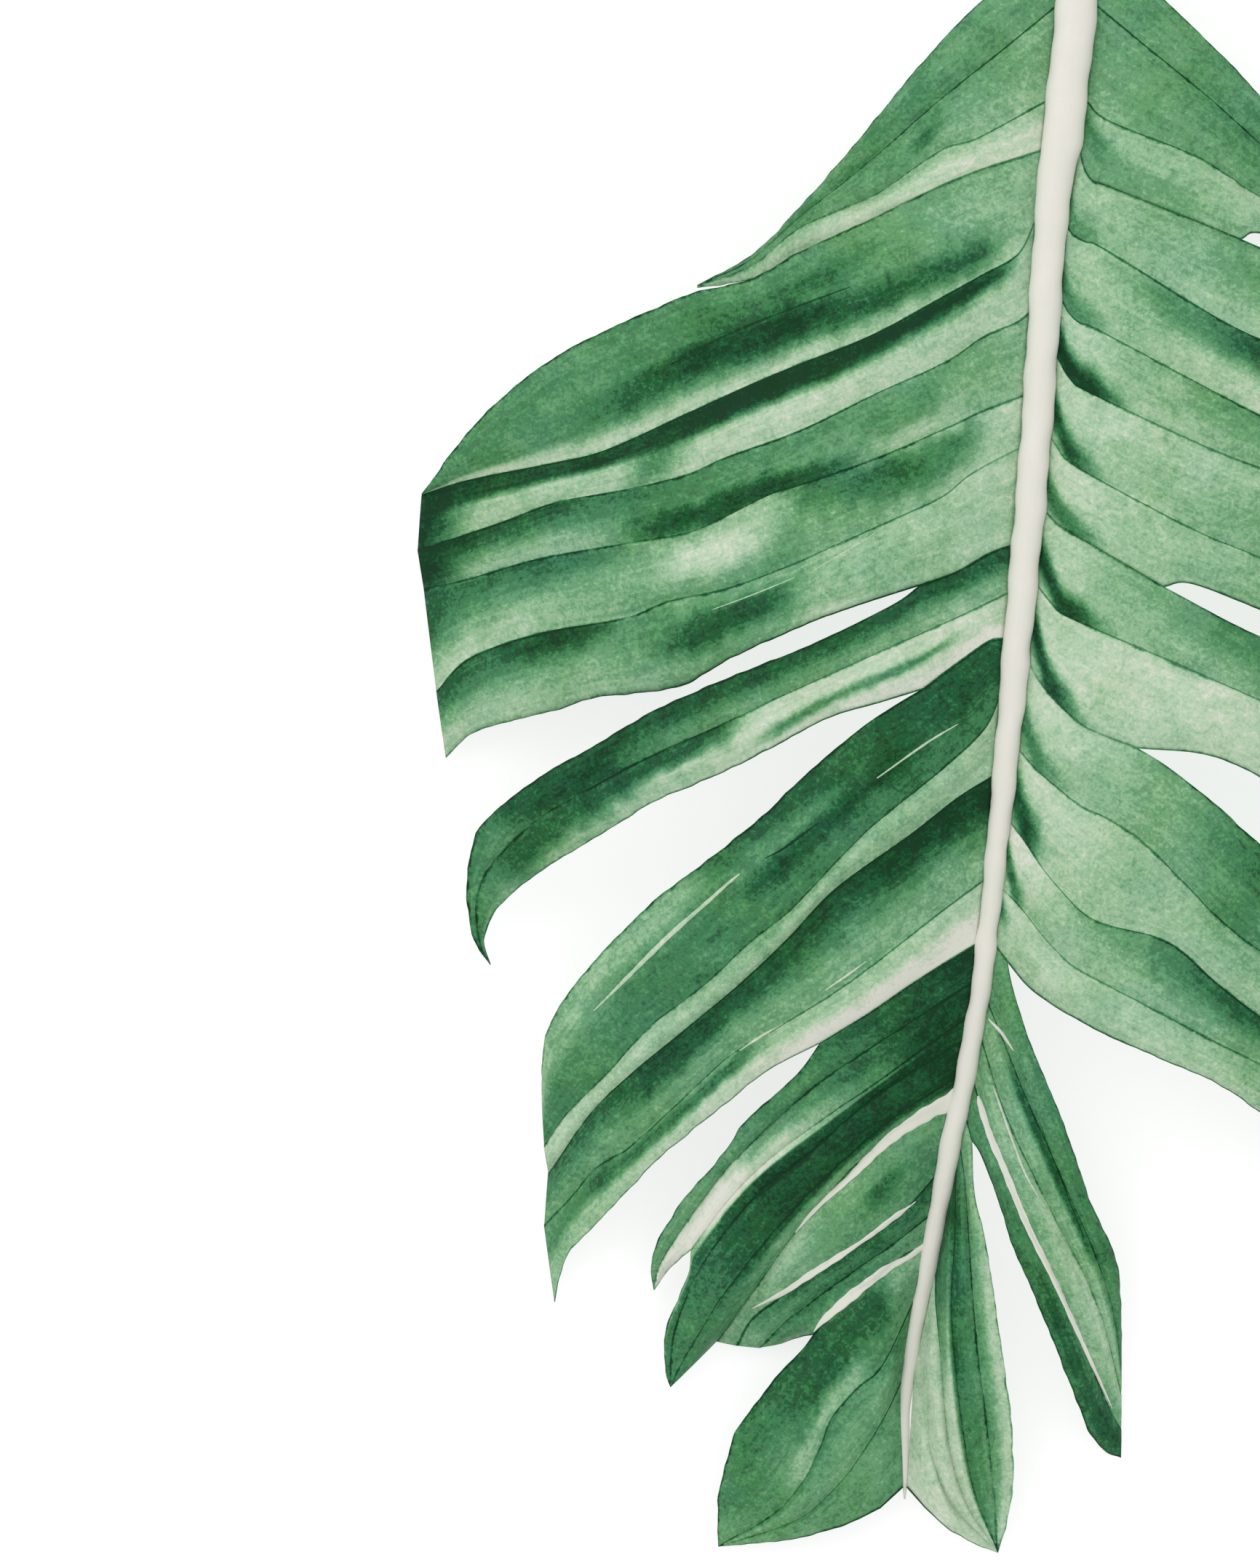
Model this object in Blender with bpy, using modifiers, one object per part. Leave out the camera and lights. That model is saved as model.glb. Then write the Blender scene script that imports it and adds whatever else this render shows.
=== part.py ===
"""One cut frond of a broad-leafleted feather palm, lying on its underside.

Outlines are in millimetres as seen from above. +X is the frond's right, +Y runs from its tip to
the cut end of its stalk, and +Z is up. The rachis is the stalk and midrib in one piece. The blade
is one thin pleated sheet that runs under the rachis and is slit into leaflets on both sides.
"""
import bpy
import bmesh
import numpy as np

MM = 0.001
BLADE_THICKNESS = 0.8
RACHIS_TO_BLADE_GAP = 0.85
SHELL_DROP = RACHIS_TO_BLADE_GAP + BLADE_THICKNESS / 2
ROOT_OFFSET = 1.0
RACHIS_HEIGHT_TO_HALF_WIDTH = 1.15
RACHIS_SECTIONS = 30
ROWS = 14
STEPS_PER_SPAN = 12

LEAFLET_LIFT = 0.14
PLEAT_DEPTH_TO_WIDTH = 0.17
PLEAT_DEPTH_MAX = 4.2
PLEAT_ROOT_FADE = 0.16
MERGE_DISTANCE = 0.25

RACHIS_COLOUR = (0.72, 0.70, 0.60, 1.0)
BLADE_COLOUR = (0.09, 0.30, 0.13, 1.0)

# Knots of the rachis: y, centre x, half of its width, height of its flat underside
RACHIS = [
    (245, 22, 11.5, 0), (215, 21, 11.2, 0), (130, 16, 10.6, 18), (45, 10, 10.2, 38),
    (-50, 0, 9.8, 54), (-94, -6, 8.2, 60), (-200, -13.5, 7.6, 67), (-305, -23, 6.8, 66),
    (-410, -33.4, 5.2, 57), (-480, -42, 5, 47), (-550, -56, 5.2, 34), (-585, -62, 4.6, 27),
    (-655, -75, 3.3, 16), (-712, -76, 1.3, 9),
]
PETIOLE_FLAT = (245, 215)
RACHIS_TIP = -712

# Each half of the blade is a chain of seams with leaflets between them. A seam is the y of its
# root on the rachis and the stretch over which its two leaflets are still joined. A leaflet has
# its name, the heights at the ends of its first and last rib, the rest of its upper margin, its
# inner ribs with their roots, and the rest of its lower margin.
LEFT_SEAMS = [
    (45, [(-25, 22)]),
    (-62, [(-39, -71), (-57, -78)]),
    (-252, [(-36, -256), (-52, -265), (-69, -271)]),
    (-297, [(-36, -298), (-52, -309), (-68, -321)]),
    (-443.5, [(-56, -452), (-75, -464), (-94, -477), (-117, -491)]),
    (-479, [(-70, -496), (-92, -512), (-117, -529), (-142, -548), (-161, -567), (-179, -591)]),
    (-590, [(-77, -594), (-89, -605), (-103, -614), (-113, -623), (-120, -632)]),
    (-706, [(-88, -716)]),
]
LEFT_LEAFLETS = [
    ("left_1", (6, 6),
     [(-46, 4), (-70, -22), (-93, -50), (-109, -69), (-127, -89), (-149, -111), (-176, -126)],
     [(8, [(-30, -14), (-60, -38), (-92, -66), (-127, -94), (-150, -114), (-176, -126)]),
      (-38, [(-41, -56), (-57, -61), (-74, -72), (-92, -84), (-127, -99), (-150, -117), (-176, -126)])],
     [(-92, -92), (-127, -107), (-150, -120), (-176, -126)]),
    ("left_2", (26, 4),
     [(-92, -95), (-127, -111), (-150, -124), (-176, -130), (-194, -137), (-221, -149), (-244, -161),
      (-267, -178), (-288, -199), (-309, -227)],
     [(-96, [(-22, -112), (-39, -122), (-57, -132), (-92, -151), (-127, -165), (-151, -175),
             (-182, -189), (-220, -206), (-245, -212), (-286, -220), (-309, -227)]),
      (-140, [(-23, -145), (-39, -152), (-57, -164), (-92, -180), (-127, -197), (-163, -210),
              (-181, -218), (-210, -225), (-244, -231), (-269, -240), (-311, -254)]),
      (-180, [(-40, -188), (-57, -196), (-92, -211), (-126, -223), (-142, -228), (-168, -241),
              (-184, -247), (-210, -251), (-252, -258), (-284, -267), (-308, -273)]),
      (-205, [(-45, -218), (-59, -229), (-85, -241), (-114, -254), (-132, -262), (-162, -273),
              (-190, -279), (-211, -287), (-252, -294), (-286, -306), (-302, -322)])],
     [(-91, -278), (-117, -287), (-145, -299), (-162, -307), (-186, -320), (-225, -325),
      (-244, -331), (-269, -337), (-286, -343), (-297.5, -354)]),
    ("left_3", (5, 5),
     [(-83, -281), (-122, -300), (-162, -316), (-198, -332), (-225, -348), (-253, -364), (-278, -384),
      (-284, -395), (-287, -410), (-287, -425), (-284, -442), (-276, -454)],
     [(-275, [(-52, -287), (-90, -304), (-130, -322), (-162, -337), (-198, -353), (-225, -367),
              (-253, -384), (-268, -397), (-280, -413), (-283, -430), (-281, -444), (-276, -454)])],
     [(-91, -328), (-114, -335), (-146, -352), (-171, -364), (-197, -375), (-218, -388),
      (-238, -400), (-255, -411), (-266, -420), (-275, -430), (-279, -443), (-276, -454)]),
    ("left_4", (14, 0.45),
     [(-83, -330), (-99, -341), (-124, -362), (-146, -383), (-176, -407), (-196, -422), (-224, -450),
      (-242, -473), (-249, -488), (-251, -504), (-251, -519)],
     [(-325, [(-39, -341), (-59, -360), (-91, -386), (-110, -405), (-131, -427), (-152, -444),
              (-171, -462), (-199, -484), (-218, -505), (-238, -525), (-250, -542)]),
      (-363, [(-52, -374), (-74, -391), (-110, -417), (-133, -441), (-155, -462), (-180, -483),
              (-209, -507), (-228, -526), (-248, -555)]),
      (-413, [(-60, -429), (-92, -454), (-113, -469), (-136, -483), (-161, -498), (-188, -523),
              (-209, -542), (-224, -551), (-236, -565), (-250, -580)])],
     [(-142, -504), (-161, -519), (-182, -536), (-196, -548), (-213, -566), (-232, -586),
      (-239, -594), (-243, -606), (-245, -617)]),
    ("left_5", (9, 9),
     [(-127, -505), (-142, -519), (-154, -530), (-163, -544), (-182, -566), (-190, -578),
      (-196, -589), (-198.5, -601), (-197, -611)],
     [(-462, [(-75, -482), (-117, -510), (-142, -532), (-161, -551), (-176, -571), (-189, -590),
              (-195, -601), (-197, -611)])],
     [(-189, -600), (-197, -611)]),
    ("left_6", (2, 8),
     [(-180, -602), (-185, -614), (-191, -629), (-192, -641), (-191, -652), (-189, -658)],
     [(-490, [(-92, -518), (-123, -545), (-146, -563), (-161, -580), (-173, -597), (-181, -613),
              (-187, -630), (-189, -645), (-189, -658)]),
      (-508, [(-80, -526), (-104, -546), (-125, -566), (-146, -590), (-163, -612), (-176, -633),
              (-184, -647), (-189, -658)]),
      (-522, [(-69, -528), (-81, -534), (-94, -545), (-104, -554), (-114, -566), (-130, -584),
              (-146, -607), (-158, -624), (-167, -636)]),
      (-556, [(-77, -573), (-91, -584), (-110, -596), (-123, -604), (-136, -614), (-150, -625),
              (-157, -638)]),
      (-575, [(-80, -587), (-100, -601), (-118, -614), (-134, -627), (-146, -639)])],
     [(-128, -634), (-136, -637)]),
    ("left_7", (2, 2),
     [(-126, -640), (-136, -650), (-143, -659), (-153, -672), (-158, -680), (-162, -693),
      (-166, -712), (-166, -735)],
     [(-616, [(-87, -647), (-99, -658), (-111, -672), (-117, -687), (-125, -703), (-139, -719),
              (-166, -735)]),
      (-655, [(-86, -672), (-97, -690), (-110, -707), (-130, -723), (-166, -735)])],
     [(-105, -724), (-130, -731), (-166, -735)]),
]

# The first four leaflets of the right half mirror the left ones beyond their own root scallops,
# which are given by the root and the points that lead out of it.
RIGHT_SCALLOPS = [
    (45, [(35, 24)]), (8, [(40, -12)]), (-38, [(22, -48)]),
    (-58, [(10, -68), (13, -77), (21, -79)]),
    (-93.5, [(3, -101), (10, -106), (20, -110)]),
    (-133, [(3, -141), (9, -146), (17, -149)]),
    (-161, [(3, -172), (13, -179)]),
    (-199.5, [(-3, -205), (7, -215)]),
    (-235, [(-3, -242), (5, -247)]),
    (-271, [(-5, -281), (3, -287)]),
    (-308, [(-12, -317), (-3, -328), (8, -338), (18, -343)]),
    (-350, [(-15, -358), (-4, -368), (9, -378), (20, -383)]),
    (-385, [(-19, -394), (-9, -409), (3, -424), (13, -432), (22, -435)]),
    (-417, [(-20, -427), (-9, -441), (4, -454), (20, -463)]),
    (-444.5, [(-27, -452), (-17, -464), (-5, -473), (7, -480), (20, -487)]),
]
MIRROR_START = 44
RIGHT_LOW_SEAMS = [
    (-527.5, [(-44, -538)]),
    (-706, [(-66, -716)]),
]
RIGHT_5_UPPER = [(-25, -463), (-20, -480), (-14, -497), (-5, -518), (3, -539), (13, -568), (22, -587),
                 (26, -598), (28, -618), (28.5, -640)]
RIGHT_LOW_LEAFLETS = [
    ("right_5", (10, 3), RIGHT_5_UPPER,
     [(-472, [(-29, -490), (-19, -515), (-8, -540), (3, -565), (12, -585), (19, -603), (25, -625),
              (28.5, -652)]),
      (-490, [(-32, -514), (-25, -533), (-14, -556), (-2, -580), (11, -605), (20, -628), (28.5, -662)]),
      (-510, [(-35, -538), (-25, -560), (-15, -583), (-2, -608), (10, -637), (20, -662), (28.5, -679)])],
     [(-39, -546), (-30, -570), (-25, -587), (-18, -603), (-10, -622), (-3, -639), (8, -667),
      (14, -681), (21, -689), (28.5, -692)]),
    ("right_6", (2, 2),
     [(-43, -563), (-39, -580), (-35, -602), (-32, -623), (-28, -650), (-25, -672), (-24, -690),
      (-24, -707), (-27, -724), (-31, -738)],
     [(-541, [(-47, -560), (-45, -590), (-43, -620), (-40, -650), (-36, -680), (-33, -710), (-31, -738)]),
      (-551, [(-52, -585), (-54, -617), (-52, -647), (-48, -681), (-42, -710), (-31, -738)]),
      (-600, [(-61, -618), (-59, -640), (-57, -665), (-54, -690), (-46, -715), (-31, -738)]),
      (-650, [(-67, -668), (-63, -690), (-54, -714), (-31, -738)])],
     [(-55, -726), (-43, -733), (-31, -738)]),
]


def smooth(points):
    """A dense curve through the points, as Catmull-Rom spans."""
    knots = np.array(points, float)
    knots = np.vstack([2 * knots[0] - knots[1], knots, 2 * knots[-1] - knots[-2]])
    t = np.linspace(0, 1, STEPS_PER_SPAN, endpoint=False)[:, None]
    spans = []
    for a, b, c, d in zip(knots, knots[1:], knots[2:], knots[3:]):
        spans.append(0.5 * (2 * b + (c - a) * t + (2 * a - 5 * b + 4 * c - d) * t ** 2
                            + (3 * b - a - 3 * c + d) * t ** 3))
    return np.vstack(spans + [knots[-2:-1]])


def along(curve):
    """Distance from the curve's start to each of its points."""
    return np.concatenate([[0], np.cumsum(np.linalg.norm(np.diff(curve, axis=0), axis=1))])


def spread(curve, count):
    """Count + 1 evenly spaced points on the curve."""
    distance = along(curve)
    wanted = np.linspace(0, distance[-1], count + 1)
    return np.column_stack([np.interp(wanted, distance, curve[:, k]) for k in range(curve.shape[1])])


RACHIS_CURVE = smooth(RACHIS)[::-1]


def rachis_at(y):
    """Centre x, half width and underside height of the rachis at y."""
    centre, half_width, height = (np.interp(y, RACHIS_CURVE[:, 0], RACHIS_CURVE[:, k]) for k in (1, 2, 3))
    return centre, half_width, np.maximum(height, 0)


def root_point(y, side):
    """Where a rib with its root at y leaves the rachis."""
    centre, half_width, _ = rachis_at(y)
    return (float(centre + side * (half_width + ROOT_OFFSET)), y)


def heights(points, root_y, end_height):
    """Rise from the rachis and droop to the end, along one rib."""
    distance = along(points)
    u = distance / distance[-1]
    root_height = rachis_at(root_y)[2] - SHELL_DROP
    crest = root_height + LEAFLET_LIFT * distance[-1]
    return (1 - u) ** 2 * root_height + 2 * u * (1 - u) * crest + u ** 2 * end_height


def mirrored(rib, left_root, scallop, end_flip):
    """The left rib carried over to the right, blended into its own scallop."""
    root_y, first_points = scallop
    root_x = root_point(root_y, 1)[0]
    outline = np.array([root_point(left_root, -1), *rib])
    share = along(outline) / along(outline)[-1]
    root_flip = root_x + outline[0, 0]
    outline[:, 0] = root_flip * (1 - share) + end_flip * share - outline[:, 0]
    start_x, start_y = first_points[-1]
    shift = start_y - np.interp(start_x, outline[:, 0], outline[:, 1])
    outline[:, 1] += shift * (1 - share)
    return [*first_points, *(tuple(point) for point in outline if point[0] > root_x + MIRROR_START)]


def right_half():
    """Seams and leaflets of the right half."""
    scallops = iter(RIGHT_SCALLOPS)
    seams = []
    leaflets = []
    upper_scallop = next(scallops)
    for number, (_, ends, upper, ribs, lower) in enumerate(LEFT_LEAFLETS[:4]):
        (upper_root, upper_joined), (lower_root, lower_joined) = LEFT_SEAMS[number:number + 2]
        end_flip = 2 * rachis_at((upper_root + lower_root) / 2)[0]
        full_upper = mirrored([*upper_joined, *upper], upper_root, upper_scallop, end_flip)
        right_ribs = []
        for root_y, rib in ribs:
            scallop = next(scallops)
            right_ribs.append((scallop[0], mirrored(rib, root_y, scallop, end_flip)))
        lower_scallop = next(scallops)
        full_lower = mirrored([*lower_joined, *lower], lower_root, lower_scallop, end_flip)
        joined = len(upper_scallop[1]) + (number > 0)
        seams.append((upper_scallop[0], full_upper[:joined]))
        last_joined = 1 if number == 3 else len(lower_scallop[1]) + 1
        leaflets.append((f"right_{number + 1}", ends, full_upper[joined:], right_ribs,
                         full_lower[last_joined:]))
        upper_scallop = lower_scallop
    seams.append((upper_scallop[0], upper_scallop[1][:1]))
    return seams + RIGHT_LOW_SEAMS, leaflets + RIGHT_LOW_LEAFLETS


def seam_margins(seam, side, free_above, free_below, end_above, end_below):
    """Both margins that leave a seam, row by row, with one row set along the joined stretch."""
    root_y, joined = seam
    joined_curve = smooth([root_point(root_y, side), *joined])
    joined_length = along(joined_curve)[-1]
    frees = [smooth([joined[-1], *free]) for free in (free_above, free_below) if free]
    free_length = np.mean([along(curve)[-1] for curve in frees])
    joined_rows = int(np.clip(round(ROWS * joined_length / (joined_length + free_length)), 2, ROWS - 2))
    shared = spread(joined_curve, joined_rows)
    margins = []
    for free, end_height in ((free_above, end_above), (free_below, end_below)):
        if free:
            outline = np.vstack([shared, spread(smooth([joined[-1], *free]), ROWS - joined_rows)[1:]])
            margins.append(np.column_stack([outline, heights(outline, root_y, end_height)]))
        else:
            margins.append(None)
    if free_above and free_below:
        level = (margins[0][:, 2] + margins[1][:, 2]) / 2
        fade = np.clip(np.linspace(ROWS, 0, ROWS + 1) / (ROWS - joined_rows), 0, 1)
        for margin in margins:
            margin[:, 2] += (level - margin[:, 2]) * fade ** 2
    return margins


def leaflet_ribs(side, leaflet, upper, lower):
    """All ribs of a leaflet from its upper to its lower margin, each as a row of points."""
    _, (first_end, last_end), _, inner, _ = leaflet
    ribs = [upper]
    upper_share, lower_share = (along(margin[:, :2]) / along(margin[:, :2])[-1] for margin in (upper, lower))
    for number, (root_y, points) in enumerate(inner, 1):
        across = number / (len(inner) + 1)
        curve = smooth([root_point(root_y, side), *points])
        distance = along(curve)
        share = (1 - across) * upper_share + across * lower_share
        wanted = share * distance[-1]
        outline = np.column_stack([np.interp(wanted, distance, curve[:, k]) for k in (0, 1)])
        end_height = (1 - across) * first_end + across * last_end
        ribs.append(np.column_stack([outline, heights(outline, root_y, end_height)]))
    return ribs + [lower]


def pleated(ribs):
    """Columns of the leaflet's grid: the ribs, and a raised crest between each two."""
    share = np.linspace(0, 1, ROWS + 1)
    fade = np.clip(share / PLEAT_ROOT_FADE, 0, 1)
    columns = [ribs[0]]
    for upper, lower in zip(ribs, ribs[1:]):
        crest = (upper + lower) / 2
        width = np.linalg.norm(upper - lower, axis=1)
        crest[:, 2] += np.minimum(width * PLEAT_DEPTH_TO_WIDTH, PLEAT_DEPTH_MAX) * fade
        columns += [crest, lower]
    return columns


def half_columns(side, seams, leaflets):
    """Grid columns of every leaflet of one half."""
    margins = []
    for number, seam in enumerate(seams):
        above = leaflets[number - 1] if number > 0 else None
        below = leaflets[number] if number < len(leaflets) else None
        margins.append(seam_margins(seam, side, above and above[4], below and below[2],
                                    above and above[1][1], below and below[1][0]))
    halves = []
    for number, leaflet in enumerate(leaflets):
        ribs = leaflet_ribs(side, leaflet, margins[number][1], margins[number + 1][0])
        halves.append(pleated(ribs))
    return halves


def add_leaflet(mesh, columns):
    """A grid set to the leaflet's columns. Returns its vertices along the rachis."""
    grid = bmesh.ops.create_grid(mesh, x_segments=len(columns) - 1, y_segments=ROWS, size=1)["verts"]
    places = sorted(grid, key=lambda vertex: (round(vertex.co.x, 5), round(vertex.co.y, 5)))
    for vertex, place in zip(places, np.vstack(columns)):
        vertex.co = place * MM
    return places[::ROWS + 1]


def make_material(name, colour, roughness):
    material = bpy.data.materials.new(name)
    material.use_nodes = True
    shader = material.node_tree.nodes["Principled BSDF"]
    shader.inputs["Base Color"].default_value = colour
    shader.inputs["Roughness"].default_value = roughness
    return material


def make_blade(collection):
    """The whole blade: both halves, the web under the rachis, and its thickness."""
    mesh = bmesh.new()
    chains = []
    for side, (seams, leaflets) in ((-1, (LEFT_SEAMS, LEFT_LEAFLETS)), (1, right_half())):
        chain = []
        for columns in half_columns(side, seams, leaflets):
            chain += [vertex.co.copy() for vertex in add_leaflet(mesh, columns)]
        chains.append(chain)
    bmesh.ops.remove_doubles(mesh, verts=mesh.verts, dist=MERGE_DISTANCE * MM)
    fill_web(mesh, chains)
    bmesh.ops.triangulate(mesh, faces=mesh.faces)
    bmesh.ops.recalc_face_normals(mesh, faces=mesh.faces)
    data = bpy.data.meshes.new("blade")
    mesh.to_mesh(data)
    mesh.free()
    blade = bpy.data.objects.new("blade", data)
    data.materials.append(make_material("leaf", BLADE_COLOUR, 0.5))
    collection.objects.link(blade)
    thickness = blade.modifiers.new("thickness", "SOLIDIFY")
    thickness.thickness = BLADE_THICKNESS * MM
    thickness.offset = 0
    return blade


def fill_web(mesh, chains):
    """Faces between the two rows of roots, under the rachis."""
    rows = []
    for chain in chains:
        row = []
        for place in chain:
            vertex = min(mesh.verts, key=lambda v: (v.co - place).length_squared)
            if vertex not in row:
                row.append(vertex)
        rows.append(row)
    left, right = rows
    edges = []
    for row in rows:
        edges += [mesh.edges.get(pair) for pair in zip(row, row[1:])]
    edges += [mesh.edges.new((left[0], right[0])), mesh.edges.new((left[-1], right[-1]))]
    bmesh.ops.triangle_fill(mesh, use_beauty=True, edges=edges, normal=(0, 0, 1))


def section_profile():
    """A half-oval profile with a flat underside, one unit to each side."""
    angles = np.radians(np.linspace(0, 180, 9))
    dome = [(np.cos(a), 0.12 + (RACHIS_HEIGHT_TO_HALF_WIDTH - 0.12) * np.sin(a)) for a in angles]
    points = [*dome, (-0.9, 0), (0.9, 0)][::-1]
    data = bpy.data.curves.new("rachis_section", "CURVE")
    spline = data.splines.new("POLY")
    spline.points.add(len(points) - 1)
    for point, (x, y) in zip(spline.points, points):
        point.co = (x * MM, y * MM, 0, 1)
    spline.use_cyclic_u = True
    return bpy.data.objects.new("rachis_section", data)


def make_rachis(collection, helpers):
    """The stalk and midrib: the profile swept along the arched centre line."""
    profile = section_profile()
    profile.hide_render = True
    profile.display_type = "WIRE"
    helpers.objects.link(profile)
    start, flat_end = PETIOLE_FLAT
    places = [start, *np.linspace(flat_end, RACHIS_TIP, RACHIS_SECTIONS)]
    data = bpy.data.curves.new("rachis", "CURVE")
    data.dimensions = "3D"
    data.twist_mode = "Z_UP"
    data.bevel_mode = "OBJECT"
    data.bevel_object = profile
    data.use_fill_caps = True
    spline = data.splines.new("POLY")
    spline.points.add(len(places) - 1)
    for point, y in zip(spline.points, places):
        centre, half_width, height = rachis_at(y)
        point.co = (centre * MM, y * MM, height * MM, 1)
        point.radius = half_width
    rachis = bpy.data.objects.new("rachis", data)
    data.materials.append(make_material("stalk", RACHIS_COLOUR, 0.45))
    collection.objects.link(rachis)
    return rachis


def stand_at_origin(pieces, collection):
    """Put the middle of the frond's box over the origin, with its lowest point at z = 0."""
    bpy.context.view_layer.update()
    depsgraph = bpy.context.evaluated_depsgraph_get()
    corners = []
    for piece in pieces:
        evaluated = piece.evaluated_get(depsgraph).to_mesh()
        corners += [vertex.co.copy() for vertex in evaluated.vertices]
    low = np.min(corners, axis=0)
    high = np.max(corners, axis=0)
    holder = bpy.data.objects.new("frond_frame", None)
    collection.objects.link(holder)
    holder.location = (-(low[0] + high[0]) / 2, -(low[1] + high[1]) / 2, -low[2])
    for piece in pieces:
        piece.parent = holder


def main():
    for item in list(bpy.data.objects):
        bpy.data.objects.remove(item)
    frond = bpy.data.collections.new("palm_frond")
    helpers = bpy.data.collections.new("profiles")
    bpy.context.scene.collection.children.link(frond)
    bpy.context.scene.collection.children.link(helpers)
    pieces = [make_rachis(frond, helpers), make_blade(frond)]
    stand_at_origin(pieces, frond)


main()
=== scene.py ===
"""Looks of the cut palm frond: its pleated leaflets, their ribs, the stalk and its cut end.

Outlines are in millimetres as seen from above, as in the part's own source. +X is the frond's
right, +Y runs from its tip to the cut end of its stalk, and +Z is up.
"""
import math
import bpy
import bmesh
import numpy as np
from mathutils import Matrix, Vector
from mathutils.bvhtree import BVHTree


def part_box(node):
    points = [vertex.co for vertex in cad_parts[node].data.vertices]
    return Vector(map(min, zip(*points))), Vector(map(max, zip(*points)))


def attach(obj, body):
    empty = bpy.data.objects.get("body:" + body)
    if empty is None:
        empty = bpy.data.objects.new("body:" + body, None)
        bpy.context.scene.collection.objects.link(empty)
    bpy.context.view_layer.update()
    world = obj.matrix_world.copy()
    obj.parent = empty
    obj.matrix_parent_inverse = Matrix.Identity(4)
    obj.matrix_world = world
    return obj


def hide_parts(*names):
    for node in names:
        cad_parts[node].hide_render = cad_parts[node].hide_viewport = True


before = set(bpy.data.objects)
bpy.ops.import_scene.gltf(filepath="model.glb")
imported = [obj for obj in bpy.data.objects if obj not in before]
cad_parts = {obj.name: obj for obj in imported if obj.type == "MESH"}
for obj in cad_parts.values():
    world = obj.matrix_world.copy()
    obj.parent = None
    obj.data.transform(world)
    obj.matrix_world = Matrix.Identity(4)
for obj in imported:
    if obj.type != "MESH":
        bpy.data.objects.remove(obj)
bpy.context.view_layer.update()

MM = 0.001
STALK_CORNER = (33.5, 245)
stalk_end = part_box("rachis")[1]
FRAME_SHIFT = np.array([stalk_end.x - STALK_CORNER[0] * MM, stalk_end.y - STALK_CORNER[1] * MM, 0.0])

# The picture's height in pixels, its scale, the place at its middle, and the height at which the
# scale holds; the camera's height and reach are in metres
IMAGE_HEIGHT = 2156
MM_PER_PIXEL = 0.35
IMAGE_CENTRE = (-208.6, -366.8)
FRAMED_HEIGHT = 55
CAMERA_HEIGHT = 14.0
CAMERA_REACH = 200
SENSOR_WIDTH = 36

# Leaf sheet and its grid
BLADE_THICKNESS = 0.5
SHELL_DROP = -1.8
ROOT_OFFSET = -0.4
COARSE_ROWS = 14
ROWS = COARSE_ROWS * 9
COLUMNS = 16
ALONG = np.linspace(0, 1, ROWS + 1)[:, None]
ACROSS = np.linspace(0, 1, COLUMNS + 1)[None, :]
STEPS_PER_SPAN = 12
LEAFLET_LIFT = 0.14
LOWEST = 0.4
MERGE_DISTANCE = 0.02

# Pleats, the ripple of the free margins, and the lengths of the waves that make them uneven
PLEAT_DEPTH_SHARE = 0.17
PLEAT_DEPTH_MAX = 4.2
PLEAT_ROOT_FADE = 0.16
PLEAT_ROUNDNESS = 1.6
RIPPLE_HEIGHT = 1.0
RIPPLE_LENGTH = 46
FREE_SHARE_RISE = 3
MARGIN_WOBBLE = 0.2
MARGIN_WAVES = (3.3, 12.7, 5.9, 1.7)
MARGIN_TIP = 12

# Painted strokes: hardness of their edges, share over which their ends fade, and how much and how
# quickly their width changes; the tone above which the painted shade lines between strips fade
# out; and a distance from a rib at which there is no painted shade line
STROKE_HARDNESS = 2.8
STROKE_FADE = 0.1
STROKE_RAGGEDNESS = (0.2, 0.1)
STROKE_WAVES = (61, 22, 149)
PALE_TONE = 0.62
PALE_RISE = 0.2
NO_SHADE_LINE = 9

# Ribs along the pleats, darkened by painted shade in the folds, and the broader ridges laid on the leaves
RIB_RADIUS = 0.55
RIB_TIP_RADIUS = 0.22
RIB_SIDES = 6
RIB_SHADE = 0.36
RIB_PATTERN_STEP = 7
RIDGE_HEIGHT_SHARE = 0.28
RIDGE_FULL_HALF_WIDTH = 1.6
RIDGE_WIDTH_MIN = 0.3
RIDGE_UNEVENNESS = 0.14
RIDGE_WAVES = (1.9, 5.3)
RIDGE_SIDES = 8
RIDGE_SMOOTHING = 7
RIDGE_LIFT = BLADE_THICKNESS / 2 + 0.06
RIDGE_FOOT_DEPTH = 0.4
RIDGE_PATTERN_STEP = 0.4
ABOVE_ALL = 200.0

# Stalk: a half-oval with a flat foot, swollen at the leaf roots, and the loops of its hollowed cut
# end, by share of the rim and depth
STALK_HEIGHT_SHARE = 1.15
STALK_SECTIONS = 260
STALK_SIDES = 40
STALK_FOOT = (0.9, 0.12)
STALK_FOOT_SIDES = 3
STALK_ROUNDNESS = 0.78
STALK_TIP = 12
STALK_TIP_MIN = 0.1
STALK_BULGE = 0.5
STALK_BULGE_REACH = 5.0
STALK_WAVE = 0.36
STALK_WAVES = (7.3, 3.1)
STALK_SLIM = 5
STALK_PATTERN_STEP = 0.8
CUT_LOOPS = [(0.97, 0.0), (0.9, 0.35), (0.6, 0.3), (0.3, 0.25), (0.02, 0.2)]

# Light and ground, in metres
SKY_STRENGTH = 1.0
WINDOW_POWER = 48
WINDOW_SIZE = 3.0
WINDOW_PLACE = (-2.2, 2.2, 3.4)
FLOOR_REACH = 6.0
FLOOR_ALBEDO = 0.32
FLOOR_MOTTLE = 0.02
FLOOR_GLOW = 0.74
WHITE = (1.0, 1.0, 1.0, 1.0)

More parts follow.
